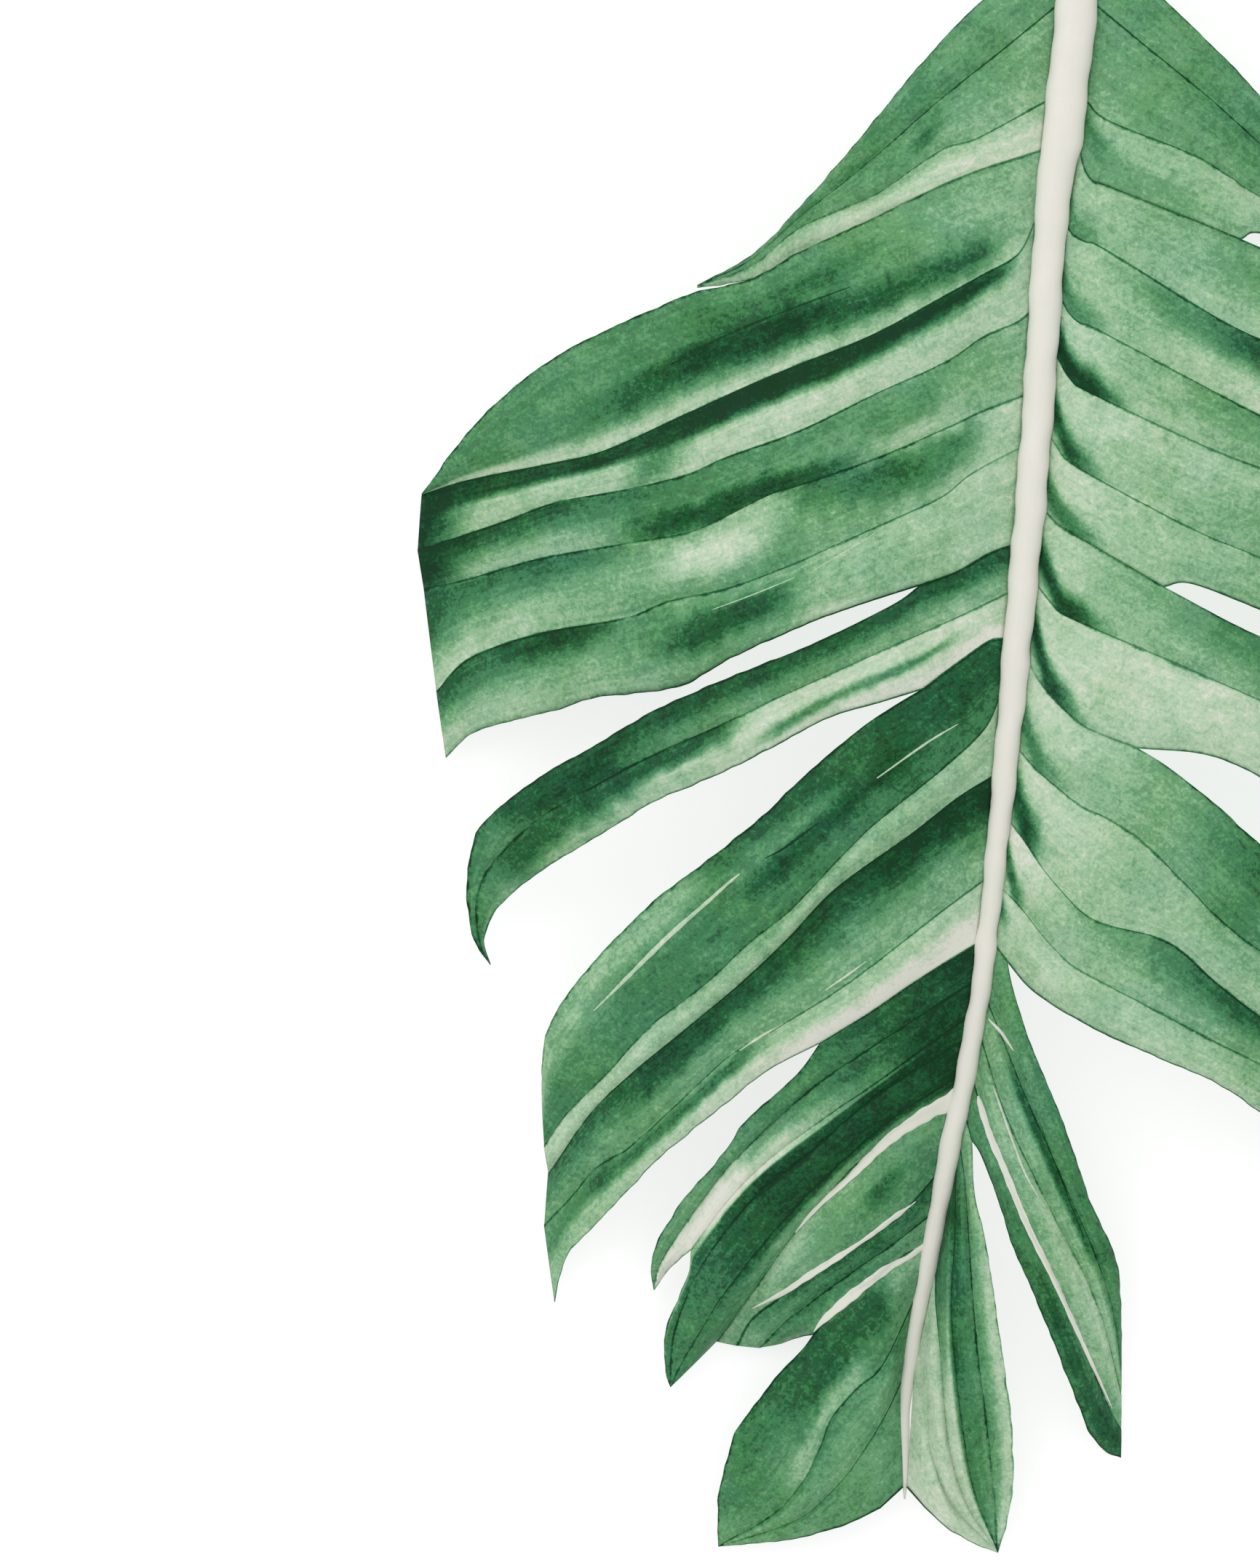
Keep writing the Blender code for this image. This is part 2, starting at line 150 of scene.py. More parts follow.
# Colours: the leaf's by tone, from the deepest green to cream, the stalk's and the cut end's
LEAF_TONES = [
    (0.00, (0.0015, 0.038, 0.0115)), (0.07, (0.004, 0.054, 0.017)), (0.12, (0.01, 0.088, 0.031)),
    (0.2, (0.015, 0.108, 0.038)), (0.26, (0.042, 0.185, 0.075)), (0.36, (0.062, 0.23, 0.098)),
    (0.42, (0.108, 0.3, 0.14)), (0.52, (0.152, 0.36, 0.182)), (0.58, (0.235, 0.445, 0.252)),
    (0.68, (0.328, 0.53, 0.328)), (0.74, (0.42, 0.592, 0.4)), (0.84, (0.535, 0.66, 0.49)),
    (0.92, (0.675, 0.71, 0.605)), (1.00, (0.755, 0.76, 0.675)),
]
LEAF_VALUE = 0.875
STALK_PALE = (0.705, 0.682, 0.62, 1.0)
STALK_COOL = (0.615, 0.63, 0.558, 1.0)
STALK_EDGE = (0.24, 0.4, 0.26, 1.0)
CUT_PALE = (0.7, 0.66, 0.47, 1.0)
CUT_FIBRE = (0.43, 0.39, 0.22, 1.0)
CUT_RIND = (0.46, 0.54, 0.34, 1.0)

# Knots of the rachis: y, centre x, half of its width, height of its flat underside
RACHIS = [
    (245, 22, 11.5, 0), (215, 21, 11.2, 0), (130, 16, 10.6, 18), (45, 10, 10.2, 38),
    (-50, 0, 9.8, 54), (-94, -6, 8.2, 60), (-200, -13.5, 7.6, 67), (-305, -23, 6.8, 66),
    (-410, -33.4, 5.2, 57), (-480, -42, 5, 47), (-550, -56, 5.2, 34), (-585, -62, 4.6, 27),
    (-655, -75, 3.3, 16), (-712, -76, 1.3, 9),
]
CUT_END = 245
RACHIS_TIP = -712

# Each half of the blade is a chain of seams with leaflets between them. A seam is its root's y on
# the rachis and the stretch over which its two leaflets are joined. A leaflet has its name, the
# heights at the ends of its first and last rib, the rest of its upper margin, its inner ribs with
# their roots, and the rest of its lower margin.
LEFT_SEAMS = [
    (45, [(-25, 22)]),
    (-62, [(-39, -71), (-57, -78)]),
    (-252, [(-36, -256), (-52, -265), (-69, -271)]),
    (-297, [(-36, -298), (-52, -309), (-68, -321)]),
    (-443.5, [(-56, -452), (-75, -464), (-94, -477), (-117, -491)]),
    (-479, [(-70, -496), (-92, -512), (-117, -529), (-142, -548), (-161, -567), (-179, -591)]),
    (-590, [(-77, -594), (-89, -605), (-103, -614), (-113, -623), (-120, -632)]),
    (-706, [(-88, -716)]),
]
LEFT_LEAFLETS = [
    ("left_1", (6, 6),
     [(-46, 4), (-70, -22), (-93, -50), (-109, -69), (-127, -89), (-149, -111), (-176, -126)],
     [(8, [(-30, -14), (-60, -38), (-92, -66), (-127, -94), (-150, -114), (-176, -126)]),
      (-38, [(-41, -56), (-57, -61), (-74, -72), (-92, -84), (-127, -99), (-150, -117), (-176, -126)])],
     [(-92, -95), (-127, -111), (-150, -123), (-176, -127)]),
    ("left_2", (26, 4),
     [(-92, -95), (-127, -111), (-150, -124), (-176, -130), (-194, -137), (-221, -149), (-244, -161),
      (-267, -178), (-288, -199), (-309, -227)],
     [(-96, [(-22, -112), (-39, -122), (-57, -132), (-92, -151), (-127, -165), (-151, -175), (-182, -189),
        (-220, -206), (-245, -212), (-286, -220), (-309, -227)]),
      (-140, [(-23, -145), (-39, -152), (-57, -164), (-92, -180), (-127, -197), (-163, -210), (-181, -218),
        (-210, -225), (-244, -231), (-269, -240), (-311, -254)]),
      (-180, [(-40, -188), (-57, -196), (-92, -211), (-126, -223), (-142, -228), (-168, -241),
        (-184, -247), (-210, -251), (-252, -258), (-284, -267), (-308, -273)]),
      (-205, [(-45, -218), (-59, -229), (-85, -241), (-114, -254), (-132, -262), (-162, -273),
        (-190, -279), (-211, -287), (-252, -294), (-286, -306), (-302, -322)])],
     [(-91, -278), (-117, -287), (-145, -299), (-162, -307), (-186, -320), (-225, -325), (-244, -331),
      (-269, -337), (-286, -343), (-297.5, -354)]),
    ("left_3", (5, 5),
     [(-83, -281), (-122, -300), (-162, -316), (-198, -332), (-225, -348), (-253, -364), (-278, -384),
      (-284, -395), (-287, -410), (-287, -425), (-284, -442), (-276, -454)],
     [(-275, [(-52, -287), (-90, -304), (-130, -322), (-162, -337), (-198, -353), (-225, -367),
        (-253, -384), (-268, -397), (-280, -413), (-283, -430), (-281, -444), (-276, -454)])],
     [(-91, -328), (-114, -335), (-146, -352), (-171, -364), (-197, -375), (-218, -388), (-238, -400),
      (-255, -411), (-266, -420), (-275, -430), (-279, -443), (-276, -454)]),
    ("left_4", (14, 0.45),
     [(-83, -330), (-99, -341), (-124, -362), (-146, -383), (-176, -407), (-196, -422), (-224, -450),
      (-242, -473), (-249, -488), (-251, -504), (-251, -519)],
     [(-325, [(-39, -341), (-59, -360), (-91, -386), (-110, -405), (-131, -427), (-152, -444),
        (-171, -462), (-199, -484), (-218, -505), (-238, -525), (-250, -542)]),
      (-363, [(-52, -374), (-74, -391), (-110, -417), (-133, -441), (-155, -462), (-180, -483),
        (-209, -507), (-228, -526), (-248, -555)]),
      (-413, [(-60, -429), (-92, -454), (-113, -469), (-136, -483), (-161, -498), (-188, -523),
        (-209, -542), (-224, -551), (-236, -565), (-250, -580)])],
     [(-142, -504), (-161, -519), (-182, -536), (-196, -548), (-213, -566), (-232, -586), (-239, -594),
      (-243, -606), (-245, -617)]),
    ("left_5", (9, 9),
     [(-127, -505), (-142, -519), (-154, -530), (-163, -544), (-182, -566), (-190, -578), (-196, -589),
      (-198.5, -601), (-197, -611)],
     [(-462, [(-75, -482), (-117, -510), (-142, -532), (-161, -551), (-176, -571), (-189, -590),
        (-195, -601), (-197, -611)])],
     [(-189, -600), (-197, -611)]),
    ("left_6", (2, 8),
     [(-180, -602), (-185, -614), (-191, -629), (-192, -641), (-191, -652), (-189, -658)],
     [(-490, [(-92, -518), (-123, -545), (-146, -563), (-161, -580), (-173, -597), (-181, -613),
        (-187, -630), (-189, -645), (-189, -658)]),
      (-508, [(-80, -526), (-104, -546), (-125, -566), (-146, -590), (-163, -612), (-176, -633),
        (-184, -647), (-189, -658)]),
      (-522, [(-69, -528), (-81, -534), (-94, -545), (-104, -554), (-114, -566), (-130, -584),
        (-146, -607), (-158, -624), (-167, -636)]),
      (-556, [(-77, -573), (-91, -584), (-110, -596), (-123, -604), (-136, -614), (-150, -625),
        (-157, -638)]),
      (-575, [(-80, -587), (-100, -601), (-118, -614), (-134, -627), (-146, -639)])],
     [(-128, -634), (-136, -637)]),
    ("left_7", (2, 2),
     [(-126, -640), (-136, -650), (-143, -659), (-153, -672), (-158, -680), (-162, -693), (-166, -712),
      (-166, -735)],
     [(-616, [(-87, -647), (-99, -658), (-111, -672), (-117, -687), (-125, -703), (-139, -719),
        (-166, -735)]),
      (-655, [(-86, -672), (-97, -690), (-110, -707), (-130, -723), (-166, -735)])],
     [(-105, -724), (-130, -731), (-166, -735)]),
]

# The first four leaflets of the right half mirror the left ones beyond their own root scallops,
# which are given by the root and the points that lead out of it.
RIGHT_SCALLOPS = [
    (45, [(35, 24)]), (8, [(40, -12)]), (-38, [(22, -48)]),
    (-58, [(8.5, -65), (10.2, -71.5), (13, -76), (16.8, -78.3), (21, -79.3)]),
    (-93.5, [(3, -101), (10, -106), (20, -110)]), (-133, [(3, -141), (9, -146), (17, -149)]),
    (-161, [(3, -172), (13, -179)]), (-199.5, [(-3, -205), (7, -215)]), (-235, [(-3, -242), (5, -247)]),
    (-271, [(-5, -281), (3, -287)]), (-308, [(-12, -317), (-3, -328), (8, -338), (18, -343)]),
    (-350, [(-15, -358), (-4, -368), (9, -378), (20, -383)]),
    (-385, [(-19, -394), (-9, -409), (3, -423), (8.5, -428.5), (14, -432), (22, -435)]),
    (-417, [(-20, -427), (-9, -441), (4, -454), (20, -463)]),
    (-444.5, [(-27, -452), (-17, -464), (-5, -473), (7, -480), (20, -487)]),
]

# The mirrored points begin this far right of the root, and this far beyond the scallop's end.
MIRROR_START = 44
MIRROR_CLEARANCE = 8

# The rest of the right half, in the same form as the left
LOW_SEAMS = [
    (-527.5, [(-44, -538)]),
    (-706, [(-66, -716)]),
]
LOW_LEAFLETS = [
    ("right_5", (10, 3),
     [(-25, -463), (-20, -480), (-14, -497), (-5, -518), (3, -539), (13, -568), (22, -587), (26, -598),
      (28, -618), (28.5, -640)],
     [(-472, [(-29, -490), (-19, -515), (-8, -540), (3, -565), (12, -585), (19, -603), (25, -625),
        (28.5, -652)]),
      (-490, [(-32, -514), (-25, -533), (-14, -556), (-2, -580), (11, -605), (20, -628), (28.5, -662)]),
      (-510, [(-35, -538), (-25, -560), (-15, -583), (-2, -608), (10, -637), (20, -662), (28.5, -679)])],
     [(-39, -546), (-30, -570), (-25, -587), (-18, -603), (-10, -622), (-3, -639), (8, -667), (14, -681),
      (21, -689), (28.5, -692)]),
    ("right_6", (2, 2),
     [(-43, -563), (-39, -580), (-35, -602), (-32, -623), (-28, -650), (-25, -672), (-24, -690),
      (-24, -707), (-27, -724), (-31, -738)],
     [(-541, [(-47, -560), (-45, -590), (-43, -620), (-40, -650), (-36, -680), (-33, -710), (-31, -738)]),
      (-551, [(-52, -585), (-54, -617), (-52, -647), (-48, -681), (-42, -710), (-31, -738)]),
      (-600, [(-61, -618), (-59, -640), (-57, -665), (-54, -690), (-46, -715), (-31, -738)]),
      (-650, [(-67, -668), (-63, -690), (-54, -714), (-31, -738)])],
     [(-55, -726), (-43, -733), (-31, -738)]),
]

# Washes in hundredths: how deep the green is, from 0 for the deepest to 100 for cream. Each strip
# between two ribs has the tones of its upper and lower edge near the root, in the middle and near
# the tip, then where across the strip the one turns into the other, and how softly. The washes are
# partly the leaf's own streaked green and partly painted shade: the turn from dark to pale across
# each strip stands in for the light and shade of its pleat.
WASH_STATIONS = (0.06, 0.5, 0.94)
WASHES_AND_PLEAT_SHADE = {
    "left_1": [(45, 45, 38, 38, 40, 40, 50, 50), (50, 60, 40, 46, 40, 50, 60, 35),
        (66, 84, 64, 77, 60, 72, 35, 25)],
    "left_2": [(58, 66, 37, 74, 38, 76, 84, 8), (66, 72, 3, 75, 12, 68, 42, 12),
        (54, 60, 36, 48, 12, 68, 50, 35), (76, 70, 62, 40, 24, 72, 45, 35),
        (70, 66, 54, 48, 16, 68, 45, 35)],
    "left_3": [(15, 58, 12, 42, 34, 42, 50, 30), (80, 96, 85, 77, 34, 52, 70, 20)],
    "left_4": [(15, 26, 24, 31, 60, 34, 35, 25), (66, 62, 52, 62, 76, 72, 30, 30),
        (6, 55, 10, 52, 22, 46, 45, 35), (72, 98, 64, 84, 38, 58, 50, 16)],
    "left_5": [(7, 10, 34, 38, 48, 50, 50, 40), (5, 8, 42, 80, 88, 100, 55, 28)],
    "left_6": [(5, 5, 84, 10, 42, 30, 32, 8), (5, 5, 10, 14, 32, 36, 50, 40),
        (10, 40, 14, 50, 34, 34, 40, 20), (46, 36, 56, 52, 60, 50, 50, 40),
        (20, 25, 15, 36, 50, 52, 40, 30), (42, 46, 30, 38, 46, 56, 72, 14)],
    "left_7": [(55, 46, 15, 30, 38, 42, 45, 20), (34, 40, 34, 48, 36, 48, 30, 30),
        (42, 42, 42, 46, 42, 46, 50, 40)],
    "right_1": [(42, 45, 38, 38, 40, 40, 50, 50), (45, 50, 35, 42, 40, 50, 60, 35),
        (60, 45, 70, 60, 70, 70, 60, 30)],
    "right_2": [(64, 58, 40, 66, 38, 74, 60, 25), (68, 60, 6, 76, 12, 68, 45, 20),
        (72, 66, 32, 55, 14, 66, 50, 35), (74, 71, 60, 42, 26, 70, 45, 35),
        (77, 72, 50, 46, 18, 66, 45, 35)],
    "right_3": [(71, 68, 12, 46, 34, 42, 50, 30), (77, 72, 80, 72, 34, 50, 70, 20)],
    "right_4": [(80, 70, 22, 36, 60, 34, 45, 30), (79, 70, 52, 62, 76, 72, 50, 35),
        (90, 72, 18, 52, 15, 45, 50, 35), (76, 68, 62, 70, 40, 52, 50, 35)],
    "right_5": [(46, 46, 30, 36, 24, 30, 50, 40), (50, 54, 32, 52, 36, 60, 35, 20),
        (50, 50, 64, 54, 66, 56, 50, 40), (40, 36, 32, 26, 26, 22, 50, 40)],
    "right_6": [(56, 50, 64, 42, 66, 44, 50, 40), (36, 18, 34, 20, 48, 36, 50, 40),
        (12, 16, 26, 74, 40, 76, 25, 15), (70, 74, 76, 80, 78, 82, 50, 40),
        (76, 80, 80, 82, 80, 82, 50, 40)],
}

# Strokes over the washes: the strip, the tone, half the width in mm, and the path along and
# across the strip, with tone and path in hundredths. The outer ends of the second and third
# leaflets have the same ones on both sides. Like the washes, the strokes are partly the leaf's own
# streaks and partly painted shade: dark strokes that run beside a rib, such as the wedges at the
# roots of the right leaflets, paint the shade of its fold.
OUTER_2 = [
    (1, 0, 20, [(90, 50), (100, 50)]), (2, 2, 20, [(90, 50), (100, 50)]),
    (3, 14, 16, [(91, 30), (100, 30)]), (3, 22, 7, [(66, 8), (92, 12)]), (4, 8, 8, [(66, 4), (92, 8)]),
]
OUTER_3 = [
    (0, 10, 12, [(54, 50), (82, 50)]), (1, 16, 10, [(38, -12), (56, 10), (72, 22), (90, 40)]),
]
STROKES_AND_SHADE = {
    "left_1": [(1, 20, 7, [(25, 50), (42, 60)])],
    "left_2": [(0, 18, 8, [(8, 84), (30, 72), (50, 62), (78, 62)]), (0, 24, 7, [(30, 32), (62, 38)]),
        (0, 5, 7, [(34, 62), (50, 58), (66, 56)]), (1, 0, 7, [(4, 10), (30, 14), (72, 20)]),
        (1, 12, 18, [(58, 55), (72, 60)]), (2, 38, 9, [(12, 40), (36, 40)]),
        (2, 12, 8.5, [(26, 104), (36, 94), (48, 82), (58, 76), (72, 80)]),
        (2, 70, 5, [(10, 86), (32, 84)]), (3, 25, 13, [(4, 36), (19, 42), (29, 26), (38, 4), (46, -10)]),
        (3, 80, 10, [(40, 62), (50, 46), (66, 42)]), (4, 12, 10, [(34, 48), (48, 40), (66, 50)]),
        (4, 72, 4, [(20, 94), (42, 94)]), *OUTER_2],
    "left_3": [(1, 36, 2.6, [(4, 40), (25, 55), (46, 78)]), *OUTER_3, (1, 84, 1.8, [(44, 52), (64, 62)])],
    "left_4": [(0, 14, 11, [(0, 40), (30, 28)]), (0, 12, 6, [(14, 66), (40, 56), (56, 56)]),
        (0, 18, 4, [(24, 5), (56, 5)]), (0, 42, 5, [(30, 40), (58, 26)]),
        (0, 60, 8, [(52, 16), (74, 14), (96, 12)]), (2, 3, 9, [(0, 14), (30, 10)]),
        (2, 12, 9, [(42, 16), (84, 28)]), (3, 104, 6.5, [(0, 94), (20, 92), (46, 95)]),
        (3, 26, 6, [(46, 16), (62, 34), (80, 26), (94, 26)])],
    "left_5": [(0, 40, 3, [(34, 60), (54, 66)]), (1, 5, 10, [(0, 50), (20, 50)]),
        (1, 100, 9, [(56, 66), (96, 60)])],
    "left_6": [(0, 96, 2.6, [(40, 8), (60, 10), (78, 12)]), (3, 22, 6, [(6, 50), (30, 60)]),
        (3, 64, 5, [(36, 20), (72, 26)])],
    "left_7": [(0, 16, 11, [(12, 36), (66, 36)]), (0, 60, 6, [(30, 86), (80, 90)])],
    "right_1": [(2, 34, 7, [(0, 40), (16, 60)])],
    "right_2": [(0, 38, 8, [(0, 80), (6, 94), (14, 102)]), (1, 30, 8, [(0, 78), (6, 92), (14, 102)]),
        (2, 2, 8.5, [(0, 74), (6, 92), (18, 104)]), (3, 12, 8, [(0, 60), (6, 90), (14, 102)]),
        (4, 24, 7, [(0, 66), (6, 92), (14, 102)]), *OUTER_2],
    "right_3": [(0, 6, 7, [(0, 56), (5, 88), (16, 104)]), (1, 7, 7.5, [(0, 48), (5, 86), (16, 106)]),
        *OUTER_3],
    "right_4": [(0, 30, 8, [(0, 60), (6, 90), (15, 102)]), (1, 10, 10, [(0, 54), (6, 86), (16, 102)]),
        (2, 24, 6, [(0, 46), (6, 84), (15, 102)]), (3, 22, 5, [(0, 34), (10, 50)])],
    "right_5": [(1, 18, 3, [(22, 16), (74, 24)]), (2, 68, 5, [(44, 10), (84, 20)]),
        (3, 14, 5, [(50, 50), (100, 50)])],
    "right_6": [(0, 74, 5, [(30, 10), (100, 10)])],
}


# Pale ridges that stand on the leaflets: leaflet, tone, and the path as x, y and width.
RIDGES = [
    ("left_6", 1.08, [(-48, -518, 12), (-56, -521, 9), (-63, -524, 7), (-72, -529.6, 6.2),
        (-83, -537.2, 5.1), (-94, -547.4, 4.2), (-102.5, -556, 3.4), (-113.5, -566, 2.2),
        (-122.5, -575, 1.7), (-129, -583, 0.4)]),
    ("left_6", 1.02, [(-71, -568, 0.4), (-75, -571, 1), (-81, -575.3, 2.8), (-91, -583, 2.2),
        (-100, -589.3, 2), (-111, -596.5, 3.2), (-123, -604.2, 3.2), (-134, -611.7, 2.6),
        (-150, -620, 0.4)]),
    ("left_6", 1.02, [(-64, -588, 3.4), (-69, -591, 2.6), (-74.5, -595, 2.6), (-83, -599.4, 3.6),
        (-91, -605, 4.2), (-100, -612, 4.8), (-109, -619.6, 4.6), (-116, -626, 2.6), (-120, -631, 0.4)]),
    ("left_2", 0.06, [(-103, -128, 0.4), (-130, -138, 0.8), (-160, -150, 0.8), (-189, -165, 0.4)]),
    ("left_4", 0.02, [(-118, -385.5, 0.4), (-127, -392, 1.1), (-136, -398.5, 1), (-144, -402.5, 0.3)]),
    ("right_5", 0.06, [(-15, -520, 0.4), (-4, -550, 0.7), (10, -585, 0.4)]),
    ("left_4", 0.8, [(-156, -410, 0.4), (-162, -415, 1.6), (-172, -424, 1.8), (-190, -440, 2.4),
        (-208, -458, 2), (-226, -476, 0.6)]),
    ("left_4", 0.8, [(-51, -338, 0.4), (-66, -347, 1.1), (-90, -364, 0.6)]),
    ("left_4", 0.9, [(-95, -452, 0.4), (-106, -460, 1.2), (-115, -466, 0.4)]),
    ("left_4", 0.86, [(-135, -482, 0.4), (-147, -489, 1.3), (-156, -495, 0.4)]),
    ("left_2", 0.74, [(-86, -243, 0.4), (-100, -252, 0.9), (-120, -264, 0.5)]),
    ("left_2", 0.7, [(-128, -267, 0.4), (-150, -276, 0.8), (-169, -283, 0.4)]),
    ("right_5", 0.98, [(-36, -480, 0.5), (-30, -486.5, 1.7), (-23, -497, 0.5)]),
    ("right_5", 0.9, [(-34, -512, 0.4), (-30, -523, 1.1), (-25, -537, 1.2), (-19, -553, 1),
        (-12, -566, 0.5)]),
    ("right_5", 1.02, [(-41, -517, 0.8), (-39.8, -522, 2.8), (-35, -537, 3.2), (-29, -551, 3.3),
        (-17.5, -579, 3.2), (-3.5, -607.6, 2.7), (8.2, -633.5, 2.1), (18, -655, 1.4), (24, -668, 0.4)]),
]


def smooth(points):
    """A dense smooth curve through the points."""
    knots = np.array(points, float)
    knots = np.vstack([2 * knots[0] - knots[1], knots, 2 * knots[-1] - knots[-2]])
    t = np.linspace(0, 1, STEPS_PER_SPAN, endpoint=False)[:, None]
    spans = []
    for a, b, c, d in zip(knots, knots[1:], knots[2:], knots[3:]):
        spans.append(0.5 * (2 * b + (c - a) * t + (2 * a - 5 * b + 4 * c - d) * t ** 2
                            + (3 * b - a - 3 * c + d) * t ** 3))
    return np.vstack(spans + [knots[-2:-1]])


def along(curve):
    """Distance from the curve's start to each of its points."""
    return np.concatenate([[0], np.cumsum(np.linalg.norm(np.diff(curve, axis=0), axis=1))])


def share_along(curve):
    """Share of the curve's length that lies before each of its points."""
    distance = along(curve)
    return distance / distance[-1]


def points_at(curve, shares):
    """The points at the given shares of the curve's length."""
    return np.column_stack([np.interp(shares, share_along(curve), curve[:, k]) for k in (0, 1)])


RACHIS_CURVE = smooth(RACHIS)[::-1]


def rachis_at(y):
    """Centre x, half width and underside height of the rachis at y."""
    centre, half_width, height = (np.interp(y, RACHIS_CURVE[:, 0], RACHIS_CURVE[:, k]) for k in (1, 2, 3))
    return centre, half_width, np.maximum(height, 0)


def root_point(y, side):
    """Where a rib with its root at y leaves the rachis."""
    centre, half_width, _ = rachis_at(y)
    return (float(centre + side * (half_width + ROOT_OFFSET)), y)


def heights(points, root_y, end_height):
    """Heights along a rib: a rise from the rachis and a droop to the end."""
    u = share_along(points)
    root_height = rachis_at(root_y)[2] - SHELL_DROP
    crest = rachis_at(root_y)[2] + LEAFLET_LIFT * along(points)[-1]
    return (1 - u) ** 2 * root_height + 2 * u * (1 - u) * crest + u ** 2 * end_height


def mirrored(rib, left_root, scallop, end_flip):
    """The left rib carried over to the right, blended into its own scallop."""
    root_y, first_points = scallop
    root_x = root_point(root_y, 1)[0]
    outline = np.array([root_point(left_root, -1), *rib])
    share = share_along(outline)
    root_flip = root_x + outline[0, 0]
    outline[:, 0] = root_flip * (1 - share) + end_flip * share - outline[:, 0]
    start_x, start_y = first_points[-1]
    shift = start_y - np.interp(start_x, outline[:, 0], outline[:, 1])
    outline[:, 1] += shift * (1 - share)
    mirror_start = max(root_x + MIRROR_START, start_x + MIRROR_CLEARANCE)
    return [*first_points, *(tuple(point) for point in outline if point[0] > mirror_start)]


def right_half():
    """Seams and leaflets of the right half."""
    scallops = iter(RIGHT_SCALLOPS)
    seams = []
    leaflets = []
    upper_scallop = next(scallops)
    for number, (_, ends, upper, ribs, lower) in enumerate(LEFT_LEAFLETS[:4]):
        (upper_root, upper_joined), (lower_root, lower_joined) = LEFT_SEAMS[number:number + 2]
        end_flip = 2 * rachis_at((upper_root + lower_root) / 2)[0]
        full_upper = mirrored([*upper_joined, *upper], upper_root, upper_scallop, end_flip)
        right_ribs = []
        for root_y, rib in ribs:
            scallop = next(scallops)
            right_ribs.append((scallop[0], mirrored(rib, root_y, scallop, end_flip)))
        lower_scallop = next(scallops)
        full_lower = mirrored([*lower_joined, *lower], lower_root, lower_scallop, end_flip)
        joined = len(upper_scallop[1]) + (number > 0)
        seams.append((upper_scallop[0], full_upper[:joined]))
        last_joined = 1 if number == 3 else len(lower_scallop[1]) + 1
        leaflets.append((f"right_{number + 1}", ends, full_upper[joined:], right_ribs,
                         full_lower[last_joined:]))
        upper_scallop = lower_scallop
    seams.append((upper_scallop[0], upper_scallop[1][:1]))
    return seams + LOW_SEAMS, leaflets + LOW_LEAFLETS


def unit(vectors):
    """The vectors with length 1."""
    return vectors / np.maximum(np.linalg.norm(vectors, axis=1)[:, None], 1e-9)


def eased(value):
    """Smooth step from 0 to 1."""
    value = np.clip(value, 0, 1)
    return value * value * (3 - 2 * value)


def uneven(outline):
    """Small steps to either side of an outline, as on a grown edge."""
    distance = along(outline)
    forward = unit(np.gradient(outline, axis=0))
    aside = np.column_stack([-forward[:, 1], forward[:, 0]])
    first, second, third, fourth = (distance / length for length in MARGIN_WAVES)
    steps = np.sin(first) * np.sin(second + 1) + np.sin(third + 2) * np.sin(fourth)
    tip = eased((distance[-1] - distance) / MARGIN_TIP)
    return aside * (MARGIN_WOBBLE * steps * tip)[:, None]


def joined_row_count(joined_length, free_length):
    """Rows of a seam's joined stretch, in step with the coarser rows of the part's source."""
    share = joined_length / (joined_length + free_length)
    coarse = int(np.clip(round(COARSE_ROWS * share), 2, COARSE_ROWS - 2))
    return coarse * ROWS // COARSE_ROWS


def seam_margins(seam, side, free_above, free_below, end_above, end_below):
    """Both margins that leave a seam, row by row, alike along the joined stretch."""
    root_y, joined = seam
    joined_curve = smooth([root_point(root_y, side), *joined])
    frees = [smooth([joined[-1], *free]) if free else None for free in (free_above, free_below)]
    free_length = np.mean([along(curve)[-1] for curve in frees if curve is not None])
    joined_rows = joined_row_count(along(joined_curve)[-1], free_length)
    shared = points_at(joined_curve, np.linspace(0, 1, joined_rows + 1))
    free_rows = ROWS - joined_rows
    margins = []
    for curve, end_height in zip(frees, (end_above, end_below)):
        if curve is not None:
            outline = np.vstack([shared, points_at(curve, np.linspace(0, 1, free_rows + 1))[1:]])
            margins.append(np.column_stack([outline, heights(outline, root_y, end_height)]))
    level = sum(margin[:, 2] for margin in margins) / len(margins)
    fade = np.clip(np.linspace(ROWS, 0, ROWS + 1) / free_rows, 0, 1)
    free_share = eased((np.arange(ROWS + 1) - joined_rows) / free_rows * FREE_SHARE_RISE)
    for margin in margins:
        margin[:, 2] += (level - margin[:, 2]) * fade ** 2
        wave = np.sin(along(margin[:, :2]) * 2 * math.pi / RIPPLE_LENGTH + root_y)
        margin[:, 2] = np.maximum(margin[:, 2] + RIPPLE_HEIGHT * wave * free_share, LOWEST)
        margin[:, :2] += uneven(margin[:, :2]) * free_share[:, None]
    return margins[0], margins[-1]


def leaflet_ribs(side, leaflet, upper, lower):
    """All ribs of a leaflet from its upper to its lower margin."""
    _, (first_end, last_end), _, inner, _ = leaflet
    ribs = [upper]
    upper_share, lower_share = (share_along(margin[:, :2]) for margin in (upper, lower))
    for number, (root_y, points) in enumerate(inner, 1):
        across = number / (len(inner) + 1)
        curve = smooth([root_point(root_y, side), *points])
        outline = points_at(curve, (1 - across) * upper_share + across * lower_share)
        end_height = (1 - across) * first_end + across * last_end
        ribs.append(np.column_stack([outline, heights(outline, root_y, end_height)]))
    return ribs + [lower]


def half_ribs(side, seams, leaflets):
    """The ribs of every leaflet of one half."""
    nothing = (None, (None, None), None, None, None)
    margins = []
    for seam, above, below in zip(seams, [nothing, *leaflets], [*leaflets, nothing]):
        margins.append(seam_margins(seam, side, above[4], below[2], above[1][1], below[1][0]))
    return {leaflet[0]: leaflet_ribs(side, leaflet, margins[number][1], margins[number + 1][0])
            for number, leaflet in enumerate(leaflets)}


